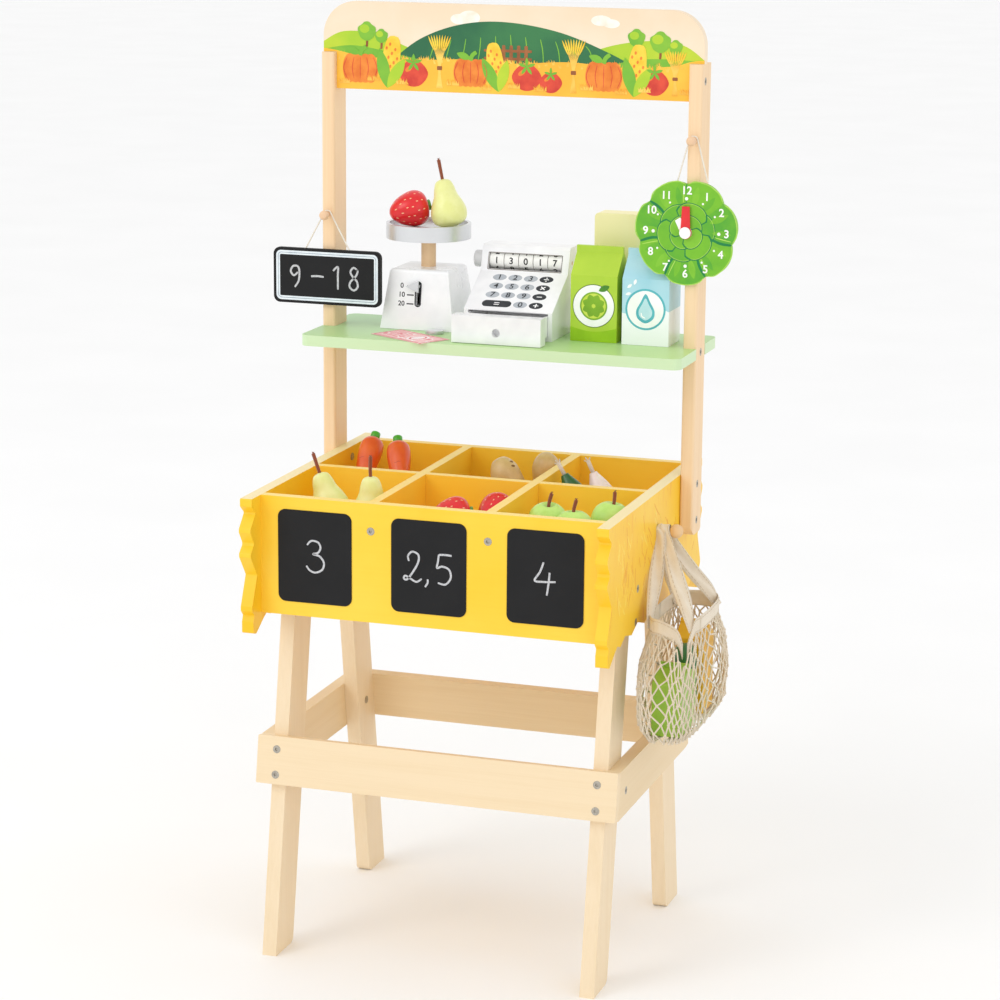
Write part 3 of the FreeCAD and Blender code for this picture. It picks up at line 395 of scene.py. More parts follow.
class Print:
    """Flat shapes on one face: layers lie a few hundredths of a millimetre above each other."""

    def __init__(self, origin, across, up, step=0.00006):
        self.step = step
        self.origin = Vector(origin)
        self.across = Vector(across).normalized()
        self.up = Vector(up).normalized()
        self.out = self.across.cross(self.up).normalized()
        self.build = Build()
        self.count = 0

    def high(self, layer):
        """How far a layer lies above the face; shapes of one layer differ by a few microns."""
        self.count += 1
        return self.step * layer + 0.00002 + 0.000001 * (self.count % 40)

    def at(self, x, y, lift):
        return self.origin + self.across * x + self.up * y + self.out * lift

    def flat(self, outline, layer, mat):
        """A closed outline, in millimetres, as a thin plate."""
        count = len(outline)
        high = self.high(layer)
        verts = [self.at(x / 1000, y / 1000, high) for x, y in outline]
        verts += [self.at(x / 1000, y / 1000, 0) for x, y in outline]
        faces = [tuple(range(count))]
        if isinstance(outline, Strip):
            faces = [(k, k + 1, count - 2 - k, count - 1 - k) for k in range(count // 2 - 1)]
        faces += [((k + 1) % count, k, count + k, count + (k + 1) % count) for k in range(count)]
        self.build.put(verts, faces, mat)

    def band(self, outer, inner, layer, mat):
        points, quads = ring_strip(outer, inner)
        high = self.high(layer)
        self.build.put([self.at(x / 1000, y / 1000, high) for x, y in points], quads, mat)

    def text(self, words, x, y, size, layer, mat, fat, cuts=0):
        """Numerals centred on a point, size in millimetres; cuts lets them follow a round face."""
        curve = bpy.data.curves.new("numerals", "FONT")
        curve.body = words
        curve.size = size / 1000
        curve.offset = fat / 1000
        curve.align_x = "CENTER"
        curve.align_y = "CENTER"
        holder = bpy.data.objects.new("numerals", curve)
        bpy.context.collection.objects.link(holder)
        bpy.context.view_layer.update()
        mesh = bpy.data.meshes.new_from_object(holder)
        if cuts:
            shape = bmesh.new()
            shape.from_mesh(mesh)
            for k in range(1, cuts):
                everything = shape.verts[:] + shape.edges[:] + shape.faces[:]
                bmesh.ops.bisect_plane(shape, geom=everything, plane_co=(0, size * (k / cuts - 0.5) / 1000, 0),
                                       plane_no=(0, 1, 0), dist=1e-7)
            shape.to_mesh(mesh)
            shape.free()
        high = self.high(layer)
        verts = [self.at(x / 1000 + v.co.x, y / 1000 + v.co.y, high) for v in mesh.vertices]
        self.build.put(verts, [tuple(p.vertices) for p in mesh.polygons], mat)
        bpy.data.objects.remove(holder)
        bpy.data.meshes.remove(mesh)

    def make(self, name, mats, body):
        return self.build.make(name, mats, body, smooth=False)


# Hanging strings
def cord_line(name, points, radius, mat, body):
    """A round cord as one NURBS spline through a route of control points."""
    curve = bpy.data.curves.new(name, "CURVE")
    curve.dimensions = "3D"
    spline = curve.splines.new("NURBS")
    spline.points.add(len(points) - 1)
    for slot, p in zip(spline.points, points):
        slot.co = (p[0], p[1], p[2], 1)
    spline.order_u = 3
    spline.use_endpoint_u = True
    spline.resolution_u = 16
    curve.bevel_depth = radius
    curve.bevel_resolution = 4
    curve.materials.append(mat)
    made = bpy.data.objects.new(name, curve)
    bpy.context.collection.objects.link(made)
    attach(made, body)
    return made


# Cotton: two plies twisted, cream, with a fuzzy surface.
def cotton(name, colour, shade, twist=900.0):
    made, tree, shader = material(name, 0.9, Sheen_Weight=0.4, Specular_IOR_Level=0.2)
    ply = add(tree, "TexWave", {"Vector": stretched(tree, (1, 1, 1), (0.6, 0.4, 0.7)), "Scale": twist,
                                "Distortion": 1.2, "Detail": 2.0}).outputs[1]
    tint(tree, shader, mix(tree, ply, shade, colour))
    bump(tree, shader, ply, 0.5, 0.0003)
    return made


string_cotton = cotton("string_cotton", "#fbf6ec", "#eadfcb")
string_y = 0.0915
peg_x = 0.222


def string_route(x, peg_z, half, low):
    """From the board up over the peg and back down."""
    mid = (half + 0.0052) / 2
    mid_z = (low + peg_z) / 2
    return [(x - half, string_y, low), (x - mid, string_y, mid_z), (x - 0.0050, string_y, peg_z),
            (x - 0.0032, string_y, peg_z + 0.0044), (x + 0.0032, string_y, peg_z + 0.0044),
            (x + 0.0050, string_y, peg_z), (x + mid, string_y, mid_z), (x + half, string_y, low)]


sign_string = cord_line("sign_cord", string_route(-peg_x, 0.826, 0.0275, 0.7847), 0.0009, string_cotton, "sign")
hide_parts("sign_string")
clock_string = cord_line("clock_cord", string_route(peg_x, 0.9315, 0.0175, 0.8852), 0.0009, string_cotton, "clock")
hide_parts("clock_string")

# The wooden stand
# Legs and rails are pale planed pine; the uprights are warmer, with pinkish streaks.
dress(wood("leg_pine", "#f1dcbb", "#e3c89c", 2),
      "front_left_leg", "front_right_leg", "back_left_leg", "back_right_leg")
dress(wood("rail_pine", "#f1dbb7", "#e4c899", 0), "front_rail")
dress(wood("back_rail_pine", "#eed6ae", "#dfc08e", 0), "back_rail")
dress(wood("side_rail_pine", "#edd6b0", "#dfc18f", 1), "left_side_rail", "right_side_rail")
dress(wood("upright_pine", "#f5d6ae", "#e8c092", 2, streak=80, strength=0.40), "left_upright", "right_upright")
dress(wood("peg_beech", "#ecc8a4", "#dba982", 1), "hanging_pegs")
dress(wood("bag_peg_beech", "#ebc594", "#d8a772", 0), "bag_peg")

# Tray boards: warm yellow paint, with a painted highlight that makes the upper edges paler.
yellow = "#fdd148"
amber = "#fbc936"
dress(paint("tray_front_paint", "#fdd344", "#fbcb2f", axis=0, pale="#ffe69a"), "tray_front_panel")
dress(paint("tray_back_paint", yellow, amber, axis=0, pale="#ffe190"), "tray_back_panel")
dress(paint("tray_floor_paint", yellow, amber, axis=0), "tray_floor")
dress(paint("long_divider_paint", yellow, amber, axis=0, pale="#ffe08c"), "lengthwise_divider")
dress(paint("cross_divider_paint", yellow, amber, axis=1, pale="#ffe08c"), "cross_dividers")


# Side panels: the same yellow with printed straw on the outer face, and a cream painted highlight on the upper edge.
def straw_paint(name, side):
    made, tree, shader = material(name, 0.4, Specular_IOR_Level=0.4)
    slow = cloud(tree, 9.0, 3)
    base = mix(tree, ramp(tree, slow, (0.35, 0.0), (0.66, 1.0)), "#fcce32", "#fac41a")
    long_straw = cloud(tree, 1.0, 4, 0.7, stretched(tree, (1, 130, 16), (0.5, 0, 0)), 1.2)
    cross_straw = cloud(tree, 1.0, 4, 0.7, stretched(tree, (1, 120, 15), (-0.55, 0, 0)), 1.2)
    blades = calc(tree, "MAXIMUM", ramp(tree, long_straw, (0.56, 0.0), (0.64, 1.0)),
                  ramp(tree, cross_straw, (0.58, 0.0), (0.66, 1.0)))
    blades = calc(tree, "MULTIPLY", blades, ramp(tree, cloud(tree, 16.0, 2), (0.42, 0.0), (0.62, 1.0)))
    outer = rise(tree, split(tree, "Normal")[0], 0.8 * side, 0.98 * side)
    amount = calc(tree, "MULTIPLY", calc(tree, "MULTIPLY", blades, outer), 0.75)
    tone = mix(tree, amount, base, "#f0a51c")
    # Painted highlight: faces that look up turn cream, standing in for light from above.
    up = calc(tree, "MULTIPLY", facing_up(tree, 0.9, 0.98), 0.85)
    tone = mix(tree, up, tone, "#f7e7b8")
    tint(tree, shader, tone)
    bump(tree, shader, cloud(tree, 300, 3), 0.08, 0.0002)
    return made


dress(straw_paint("left_panel_paint", -1), "left_side_panel")
dress(straw_paint("right_panel_paint", 1), "right_side_panel")

# Straw: single printed blades on the outer faces of the side panels, darker and longer than the ground.
rng = random.Random(7)
straw_inks = [ink("straw_dark", "#f0b036", "#e8a22a"), ink("straw_light", "#ffe070", "#ffda55")]
for side, body_x, across in ((1, 0.214, (0, 1, 0)), (-1, -0.214, (0, -1, 0))):
    straw = Print((body_x, 0, 0), across, (0, 0, 1))
    for k in range(120):
        y = rng.uniform(-165, 165)
        z = rng.uniform(425, 528)
        long = rng.uniform(14, 34)
        lean = math.radians(rng.choice((60, 75, 100, 118, 128)) + rng.uniform(-9, 9))
        dx = long * math.cos(lean)
        dz = long * math.sin(lean) * 0.8
        if (z + dz) > 540:
            continue
        if (side > 0 and 88 < y < 142) or (side < 0 and -142 < y < -88):
            continue
        bend = rng.uniform(-2.5, 2.5)
        straw.flat(stroke([(y, z), (y + dx * 0.5 + bend, z + dz * 0.5), (y + dx, z + dz)],
                          rng.uniform(0.9, 2.2), 0.15), 1 + k % 2, k % 2)
    straw.make("straw_print_right" if side > 0 else "straw_print_left", straw_inks, "stand")

# Shelf: pale green print that turns yellower to the front, on pale ply.
made, tree, shader = material("shelf_print", 0.35, Specular_IOR_Level=0.4)
place = split(tree)
drift = calc(tree, "SUBTRACT", calc(tree, "MULTIPLY", place[0], 0.35), place[1])
drift = calc(tree, "ADD", drift, calc(tree, "MULTIPLY", cloud(tree, 6.0, 3), 0.12))
drift = rise(tree, drift, -0.16, 0.10)
face = ramp(tree, drift, (0.0, "#a9d39a"), (0.5, "#b6dc95"), (1.0, "#bddf8c"))
tone = mix(tree, facing_up(tree, 0.8, 0.95), "#cfe8bb", face)
tint(tree, shader, tone)
bump(tree, shader, cloud(tree, 200, 3), 0.06, 0.0002)
dress(made, "shelf")

# Screws and sleeve nuts: dull zinc with darker sockets.
made, tree, shader = material("zinc", 0.42, Metallic=0.9)
tint(tree, shader, ramp(tree, cloud(tree, 700, 3), (0.3, "#a39d92"), (0.7, "#c4beb2")))
bump(tree, shader, cloud(tree, 1200, 2), 0.15, 0.0001)
dress(made, "frame_screws", "sleeve_nuts")

# Header board
# The board: cream print on the front, pale ply edges. The picture is a plain farm scene of our own.
made, tree, shader = material("header_paper", 0.42, Specular_IOR_Level=0.35)
sky = rise(tree, split(tree)[2], 1.0, 1.075)
tone = ramp(tree, sky, (0.0, "#f6e6cc"), (1.0, "#f1dbbd"))
tone = mix(tree, 0.15, tone, ramp(tree, cloud(tree, 20.0, 3), (0.4, "#edd5b2"), (0.6, "#f8edda")))
tint(tree, shader, tone)
bump(tree, shader, cloud(tree, 300, 3), 0.05, 0.0002)
dress(made, "header_board")

farm = Print((0, 0.1025, 0), (1, 0, 0), (0, 0, 1))
farm_inks = [ink("farm_lime", "#c3d83a", "#a9cf34", 14), ink("farm_leaf", "#8cc43c", "#72b53a", 16),
             ink("farm_forest", "#3c7d4c", "#2c6a47", 16), ink("farm_field", "#ffc746", "#fbb93c", 14),
             ink("farm_straw", "#ffd768", "#f3b13a", 30), ink("farm_red", "#e4533c", "#cf3f33", 60),
             ink("farm_orange", "#f2913a", "#e4762c", 60), ink("farm_gold", "#fbd94c", "#f2c233", 60),
             ink("farm_bark", "#a8683c", "#8d5330", 60), ink("farm_white", "#fdf8ee", "#f2e8d4", 60)]
LIME, LEAF, FOREST, FIELD, STRAW, RED, ORANGE, GOLD, BARK, WHITE = range(10)


def ground(points, low):
    """A hill: a smooth top line closed along a low edge, kept off the parts beside the tongue."""
    line = [(p.x, p.y) for p in smooth_line([Vector((x, z, 0)) for x, z in points], 8)]
    right = points[-1][0]
    left = points[0][0]
    end = [(right, low)] if right < 214 else [(right, 1016.3), (213.7, 1016.3), (213.7, low)]
    start = [(left, low)] if left > -214 else [(-213.7, low), (-213.7, 1016.3), (left, 1016.3)]
    return line + end + start


# Clouds, then the hills from back to front
for cloud_shape in ((-62, 1058, 11, 6), (-50, 1060, 13, 8), (108, 1061, 12, 6), (120, 1058, 10, 5)):
    farm.flat(ellipse(*cloud_shape), 1, WHITE)
for hill, layer, mat in (
        (((-229.8, 1028), (-205, 1040), (-165, 1038), (-120, 1022), (-70, 1005)), 2, LIME),
        (((60, 1005), (110, 1030), (165, 1040), (205, 1036), (229.8, 1020)), 2, LIME),
        (((-150, 1004), (-110, 1034), (-60, 1052), (-5, 1056), (60, 1046), (120, 1024), (160, 1004)), 3, FOREST),
        (((-229.8, 1019), (-190, 1024), (-130, 1014), (-80, 1004)), 4, LEAF),
        (((90, 1004), (150, 1018), (195, 1020), (229.8, 1018)), 4, LEAF)):
    farm.flat(ground(hill, 1000), layer, mat)
for k in range(11):
    x = -100 + k * 20
    farm.flat(stroke([(x, 1006), (x + 6 - k, 1024), (x + 10 - 2 * k, 1042 - abs(k - 5) * 2)], 1.1, 0.3), 4, LEAF)
farm.flat(ground([(-229.8, 1020), (-214, 1018), (-180, 1012), (-120, 1009), (-60, 1012), (0, 1009), (70, 1013),
                  (130, 1009), (190, 1012), (214, 1018), (229.8, 1020)], 973.7), 5, FIELD)
rng = random.Random(21)


def tuft(x, z, high, spread, layer, mat):
    """A few grass blades from one foot."""
    for k in range(4):
        lean = rng.uniform(-spread, spread)
        tall = high * rng.uniform(0.6, 1.1)
        farm.flat([(x - 0.9 + k * 0.5, z), (x + 0.7 + k * 0.5, z), (x + lean, z + tall)], layer, mat)


for k in range(150):
    x = -211 + k * 2.82
    tuft(x, 1007.5 + 2 * math.sin(k * 0.7), rng.uniform(3.5, 8), 3.0, 6, FIELD if k % 3 else STRAW)
# Round trees on the hills
for x, z, r in ((-176, 1041, 11), (-158, 1036, 8), (150, 1043, 10), (178, 1039, 12), (196, 1034, 8)):
    farm.flat(stroke([(x, z - r - 7), (x + 0.4, z - r), (x, z)], 2.6, 0.9), 7, BARK)
    farm.flat(blob([(x + r * (1 + 0.10 * math.sin(5 * a)) * math.cos(a), z + r * (0.95 + 0.08 * math.cos(4 * a))
                     * math.sin(a)) for a in [2 * math.pi * q / 14 for q in range(14)]], 4), 8, LEAF)
    farm.flat(ellipse(x - r * 0.25, z + r * 0.25, r * 0.55, r * 0.45), 9, LIME)


def pumpkin(x, z, r):
    for dx, w in ((-0.62, 0.42), (0.62, 0.42), (-0.3, 0.46), (0.3, 0.46), (0, 0.42)):
        farm.flat(ellipse(x + dx * r, z, w * r, 0.80 * r), 8 + int(3 - abs(dx) * 4), ORANGE)
        farm.flat(stroke([(x + dx * r * 1.25, z - r * 0.6), (x + dx * r * 1.6, z), (x + dx * r * 1.25, z + r * 0.6)],
                         0.7, 0.2), 12, RED)
    farm.flat(stroke([(x, z + r * 0.7), (x + r * 0.1, z + r), (x + r * 0.35, z + r * 1.2)], r * 0.24, 0.8), 13, LEAF)
    farm.flat(leaf(x, z + r * 0.8, r * 0.9, r * 0.4, 160), 13, LEAF)


def tomato(x, z, r):
    farm.flat(blob([(x + r * (1 + 0.05 * math.cos(4 * a)) * math.cos(a), z + r * 0.9 * math.sin(a))
                    for a in [2 * math.pi * q / 16 for q in range(16)]], 4), 9, RED)
    farm.flat(ellipse(x - r * 0.35, z + r * 0.3, r * 0.28, r * 0.16, 0.6), 10, ORANGE)
    for q in range(5):
        farm.flat(leaf(x, z + r * 0.72, r * 0.62, r * 0.22, 90 + q * 72), 11, LEAF)


def corn(x, z, size, turn):
    """A cob with rows of grains between two husk leaves."""
    a = math.radians(turn)

    def out(u, v):
        return x + u * math.cos(a) - v * math.sin(a), z + u * math.sin(a) + v * math.cos(a)

    wide = [size * 0.19 * math.sin(math.pi * q / 12) ** 0.6 for q in range(13)]
    upper = [out(size * 0.5 * (1 - math.cos(math.pi * q / 12)), wide[q]) for q in range(13)]
    lower = [out(size * 0.5 * (1 + math.cos(math.pi * q / 12)), -wide[q]) for q in range(1, 12)]
    farm.flat(upper + lower, 9, GOLD)
    for row in range(-2, 3):
        for q in range(9):
            u = size * (0.12 + 0.088 * q)
            v = row * size * 0.062
            if abs(v) < size * 0.165 * math.sin(math.pi * u / size) ** 0.6:
                px, pz = out(u, v)
                grain_mat = ORANGE if (q + row) % 3 == 0 else GOLD
                farm.flat(ellipse(px, pz, size * 0.036, size * 0.024, a, 10), 10, grain_mat)
    px, pz = out(-size * 0.05, 0)
    farm.flat(leaf(px, pz, size * 0.8, size * 0.26, turn + 20), 11, LEAF)
    farm.flat(leaf(px, pz, size * 0.7, size * 0.24, turn - 24), 11, LIME)


def sheaf(x, z, high):
    for q in range(9):
        lean = (q - 4) * 1.7
        farm.flat(stroke([(x + (q - 4) * 0.9, z), (x + (q - 4) * 0.25, z + high * 0.4), (x + lean, z + high * 0.8)],
                         0.9, 0.6), 9, STRAW)
        farm.flat(leaf(x + lean * 0.95, z + high * 0.74, high * 0.32, 2.0, 90 - (q - 4) * 6), 10, GOLD)
    farm.flat(round_box(x - 3, z + high * 0.36, x + 3, z + high * 0.44, 0.9, 3), 11, BARK)


for draw, *where in (
        (pumpkin, -184, 998, 21), (corn, -150, 979, 58, 82), (tomato, -118, 994, 17), (sheaf, -86, 978, 58),
        (pumpkin, -48, 997, 20), (corn, -14, 979, 54, 98), (tomato, 20, 994, 17), (tomato, 49, 989, 13),
        (sheaf, 76, 978, 58), (pumpkin, 112, 998, 21), (corn, 148, 979, 57, 84), (tomato, 172, 993, 16),
        (sheaf, 196, 979, 48)):
    draw(*where)
# A low fence behind the fruit
for k in range(6):
    x = -28 + k * 9
    farm.flat(round_box(x, 1008, x + 4, 1030, 1.4, 3), 5, BARK)
farm.flat(round_box(-32, 1013, 26, 1016, 0.8, 3), 6, BARK)
farm.flat(round_box(-32, 1022, 26, 1025, 0.8, 3), 6, BARK)
for x, z in ((-205, 980), (-168, 984), (-132, 981), (-70, 982), (-30, 978), (4, 981), (36, 979), (92, 982), (132, 979),
             (160, 982), (208, 981)):
    for k in range(5):
        tuft(x - 6 + 3 * k, z, 6.5, 2.6, 14, STRAW)
farm.make("farm_picture", farm_inks, "stand")

# Price boards and sign
made, tree, shader = material("slate_black", 0.55, Specular_IOR_Level=0.3)
dust = cloud(tree, 22.0, 5, 0.6)
tint(tree, shader, ramp(tree, dust, (0.42, "#0f0f11"), (0.75, "#151517")))
bump(tree, shader, cloud(tree, 1400, 2), 0.06, 0.0001)
dress(made, "price_boards", "sign_board")

made, tree, shader = material("chalk", 0.95, Specular_IOR_Level=0.1)
grain = cloud(tree, 900.0, 4, 0.7)
tint(tree, shader, ramp(tree, grain, (0.30, "#8f9094"), (0.52, "#c9cacd"), (0.75, "#dedfe0")))
chalk = made
prices = Print((0, -0.1708, 0), (1, 0, 0), (0, 0, 1))


def chalk_line(page, place, points, layer=1, mat=0, width=2.3, ends=0.8, steps=7):
    """One chalk stroke, its points given from a place on the page."""
    x, y = place
    page.flat(stroke([(x + dx, y + dy) for dx, dy in points], width, ends, steps), layer, mat)


chalk_line(prices, (-135, 478), ((-9, 13), (-4, 18), (4, 17), (7, 11), (4, 5), (-2, 3), (6, 1), (11, -6), (9, -14),
                                 (1, -18), (-6, -16), (-10, -11)))
middle_board = (0, 475)
chalk_line(prices, middle_board, ((-23, 8), (-24, 14), (-19, 19), (-12, 16), (-12, 8), (-17, -2), (-25, -13),
                                  (-29, -12), (-27, -9), (-21, -12), (-14, -15), (-8, -11)))
chalk_line(prices, middle_board, ((-1, -11), (-1, -15), (-4, -20)), width=2.2, steps=4)
chalk_line(prices, middle_board, ((27, 18), (20, 18.5), (12, 18)), ends=0.9, steps=4)
chalk_line(prices, middle_board, ((12, 18), (11, 10), (10, 3), (16, 5), (24, 2), (26, -7), (20, -15), (11, -14)))
right_board = (135, 476)
chalk_line(prices, right_board, ((-2, 19), (-6, 8), (-12, -2), (-3, -3), (12, -2)), ends=0.85)
chalk_line(prices, right_board, ((5, 8), (4, -4), (2, -18)), ends=0.85, steps=5)
prices.make("price_numerals", [chalk], "stand")

frame_ink = ink("sign_frame_ink", "#eaf2f7", "#dce6ee", 120)
hairline = ink("sign_hairline_ink", "#9aa7b2", "#8b98a3", 120)
sign = Print((-peg_x, 0.0887, 0.7515), (1, 0, 0), (0, 0, 1))


def frame_band(half_w, half_h, r, width, layer, mat):
    sign.band(round_box(-half_w, -half_h, half_w, half_h, r),
              round_box(-half_w + width, -half_h + width, half_w - width, half_h - width, max(r - width, 1.5)),
              layer, mat)


frame_band(64.6, 29.6, 6.2, 4.8, 1, 0)
frame_band(62.4, 27.4, 4.6, 0.7, 2, 1)
sign.flat(stroke([(-37, 4), (-42, 0), (-46, 5), (-43, 11), (-37, 11), (-35, 5), (-36, -6), (-41, -14)], 2.4, 0.8), 2, 2)
sign.flat(stroke([(-20, 0), (-12, 0.6), (-4, 0)], 2.4, 0.8, 5), 2, 2)
sign.flat(stroke([(8, 8), (14, 13), (14, 2), (14, -14)], 2.4, 0.85), 2, 2)
sign.flat(stroke([(39, 10), (34, 13), (30, 8), (33, 2), (38, -3), (39, -10), (34, -14), (29, -10), (30, -4),
                  (36, 2), (39, 8), (38, 11)], 2.4, 0.85), 2, 2)
sign.make("sign_numerals", [frame_ink, hairline, chalk], "sign")


# Clock: a rosette of leaf-shaped lobes in two greens with dark creases, light rims and white numerals
dress(paint("clock_edge_paint", "#8ac63c", "#74b83a", 0.5, 0), "clock_board")
clock = Print((0.216, 0.0890, 0.827), (1, 0, 0), (0, 0, 1), 0.000012)
clock_inks = [ink("leaf_green", "#79bf2c", "#6cb52e", 40), ink("leaf_deep", "#69b52d", "#57aa33", 40),
              ink("leaf_crease", "#1f8546", "#167a42", 80), ink("leaf_rim", "#b6de63", "#a4d454", 80),
              ink("leaf_inner", "#83c534", "#74ba2c", 40), ink("numeral_white", "#ffffff", "#f6f8ee", 80)]


def polar(radius, degrees):
    a = math.radians(degrees)
    return radius * math.cos(a), radius * math.sin(a)


lobe = 360 / 7
for k in range(7):
    tip = 90 + lobe * (k + 0.5)
    low_side = tip - lobe / 2
    outer = [polar(54.3 + 5.6 * math.sin(math.pi * t / 12) ** 1.1, low_side + lobe * t / 12) for t in range(13)]
    clock.flat([(0, 0)] + outer, 1, k % 2)
    clock.flat(leaf(*polar(30, tip + 10), 24, 8, tip + 13), 2, 4)
    clock.flat(leaf(*polar(30, tip - 12), 23, 7, tip - 15), 2, 1 - k % 2)
    clock.flat(stroke([polar(30, low_side + 1), polar(42, low_side - 2), polar(55, low_side)], 3.2, 0.25), 3, 2)
    clock.flat(stroke([polar(34, low_side + 6), polar(44, low_side + 4.5), polar(54, low_side + 4)], 1.1, 0.2), 3, 3)
    clock.flat(stroke([polar(55.6, low_side + 3), polar(59.2, low_side + 11), polar(59.9, tip), polar(59.2, tip + 15),
                       polar(55.6, tip + 23)], 1.1, 0.4), 3, 3)
# Inner leaves: two rings of rounded leaves that overlap, each with a dark edge and a light rim inside it
for ring, (reach, count, shift) in enumerate(((34.5, 6, 12), (21.0, 4, 50))):
    for k in range(count):
        tip = shift + 360 / count * k
        span = 360 / count * 0.74
        arc = [polar(reach - 7.0 * abs(t / 8 - 1) ** 3, tip + span * (t / 8 - 1)) for t in range(17)]
        inner_arc = [polar(reach - 1.3 - 7.0 * abs(t / 8 - 1) ** 3, tip + span * 0.93 * (t / 8 - 1))
                     for t in range(17)]
        layer = 4 + ring * 3 + (k % 2)
        clock.flat([polar(2, tip + 180)] + arc, layer, 2)
        clock.flat([polar(1, tip + 180)] + inner_arc, layer, (0, 4)[ring] if k % 2 else (1, 0)[ring])
        clock.flat(stroke(inner_arc[2:15], 0.6, 0.3, 2), layer + 1, 3)
for hour in range(1, 13):
    x, y = polar(47.5, 90 - 30 * hour)
    clock.text(str(hour), x, y, 12.6, 14, 5, 0.28)
    x, y = polar(38.5, 90 - 30 * hour)
    clock.flat(ellipse(x, y, 1.9 if hour % 3 == 0 else 1.2), 14, 5)
clock.make("clock_picture", clock_inks, "clock")


def satin(name, colour, shade, rough=0.35, coat=0.3):
    """A smooth painted or moulded surface with faint unevenness."""
    made, tree, shader = material(name, rough, Coat_Weight=coat, Coat_Roughness=0.15)
    slow = cloud(tree, 30.0, 3)
    tint(tree, shader, mix(tree, ramp(tree, slow, (0.35, 0.0), (0.66, 1.0)), colour, shade))
    gloss(tree, shader, slow, rough - 0.06, rough + 0.08)
    bump(tree, shader, cloud(tree, 500, 3), 0.08, 0.0001)
    return made


dress(satin("hand_red", "#ea1c24", "#d9161f"), "minute_hand")
dress(satin("hand_white", "#ffffff", "#f4f4f0"), "hour_hand", "clock_pin")

# Scale: white gloss block with a dark slot and marks, silver pan on a beech post
white = satin("white_gloss", "#fbfbfc", "#f1f2f4", 0.28, 0.4)
dress(white, "scale_housing", "scale_base")
dress(wood("post_beech", "#eecba0", "#ddb07e", 2, 0.45), "scale_post")
dress(satin("pointer_grey", "#d9dbde", "#c9ccd0"), "scale_pointer")
made, tree, shader = material("spring_wire", 0.3, Metallic=1.0)
tint(tree, shader, ramp(tree, cloud(tree, 900, 2), (0.4, "#8c8c8e"), (0.6, "#b4b4b6")))
dress(made, "scale_spring")
made, tree, shader = material("silver_paint", 0.32, Metallic=0.65, Coat_Weight=0.3, Coat_Roughness=0.2)
tint(tree, shader, ramp(tree, cloud(tree, 12, 2), (0.35, "#d6d8db"), (0.65, "#dddfe1")))
bump(tree, shader, cloud(tree, 1600, 2), 0.08, 0.0001)
silver = made
dress(silver, "scale_pan", "coins")

marks_black = ink("marks_black", "#2a2a2e", "#1f1f23", 80)
lean_up = Vector((0, 0.009, 0.071)).normalized()
gauge = Print((-0.113, 0.1000, 0.6928), (1, 0, 0), lean_up)
gauge.band(round_box(-4.1, 27.2, 4.1, 57.6, 4.0), round_box(-2.5, 29.1, 2.5, 56.2, 0.6), 1, 0)
for value, up in (("0", 51.6), ("10", 41.0), ("20", 30.5)):
    gauge.flat(round_box(-14.0, up - 0.75, -5.2, up + 0.75, 0.5, 3), 1, 0)
    gauge.text(value, -20.5, up, 8.2, 1, 0, 0.16)
gauge.make("scale_marks", [marks_black], "scale")

# Cash register: white case and keypad with grey and black keys, and five number rollers
case_white = satin("register_white", "#f7f7f8", "#ececee", 0.32, 0.3)
dress(case_white, "register_case", "drawer_front", "drawer_tray", "keypad_panel")
dress(satin("knob_grey", "#dcdcdc", "#cfcfd0"), "roller_knob")
dress(wood("axle_beech", "#e6c08f", "#d0a26c", 0), "roller_axle")
dress(satin("roller_white", "#fbfaf6", "#f0efe9"), "number_rollers")
key_up = Vector((0, 60, 37)).normalized()
keys = Print((0.007, 0.080, 0.7258), (1, 0, 0), key_up)
key_inks = [ink("key_grey", "#b9bec4", "#adb3ba", 100), ink("key_black", "#2e3136", "#26292d", 100),
            ink("key_digit", "#33363b", "#2b2e33", 100), ink("key_sign", "#ffffff", "#f3f3f3", 100)]
rows = (("1", "2", "3", "/"), ("4", "5", "6", "x"), ("7", "8", "9", "-"), ("=", None, "0", "+"))


def sign_mark(x, y, kind):
    """Arithmetic signs drawn as small bars."""
    if kind in "+-/=":
        for off in ((-1.5, 1.5) if kind == "=" else (0,)):
            keys.flat(round_box(x - 3.2, y + off - 0.6, x + 3.2, y + off + 0.6, 0.4, 3), 3, 3)
    if kind == "+":
        keys.flat(round_box(x - 0.7, y - 3.2, x + 0.7, y + 3.2, 0.4, 3), 4, 3)
    if kind == "/":
        keys.flat(ellipse(x, y + 2.8, 0.9), 3, 3)
        keys.flat(ellipse(x, y - 2.8, 0.9), 3, 3)
    if kind == "x":
        for way in (1, -1):
            keys.flat([(x - 2.6 - 0.5, y - way * 2.6 + way * 0.5), (x - 2.6 + 0.5, y - way * 2.6 - way * 0.5),
                       (x + 2.6 + 0.5, y + way * 2.6 - way * 0.5), (x + 2.6 - 0.5, y + way * 2.6 + way * 0.5)][::way],
                      3 + (way > 0), 3)


for r, row in enumerate(rows):
    for c, word in enumerate(row):
        x = -26.8 + 19.2 * c
        y = 59.3 - 15.8 * r
        if word is None:
            continue
        if word == "=":
            keys.flat(round_box(x - 8.2, y - 5.6, x + 27.4, y + 5.6, 5.4), 1, 1)
            sign_mark(x + 9.6, y, "=")
        elif c == 3:
            keys.flat(ellipse(x, y, 8.4, 5.6), 1, 1)
            sign_mark(x, y, word)
        else:
            keys.flat(ellipse(x, y, 8.4, 5.6), 1, 0)
            keys.text(word, x, y, 11.5, 3, 2, 0.18)
keys.make("register_keys", key_inks, "register")
window_up = Vector((0, 8, 27)).normalized()
# The thin grey-brown band just inside the roller window is painted shade on the inner lip of the opening.
panel = Print((0.007, 0.140, 0.7628), (1, 0, 0), window_up)
panel.band(round_box(-45.9, 1.2, 45.9, 22.3, 1.2), round_box(-45.0, 2.1, 45.0, 21.4, 0.4), 1, 0)
panel.make("window_lip_painted_shade_band", [ink("window_lip_painted_shade", "#8d857f", "#7c746f", 100)], "register")


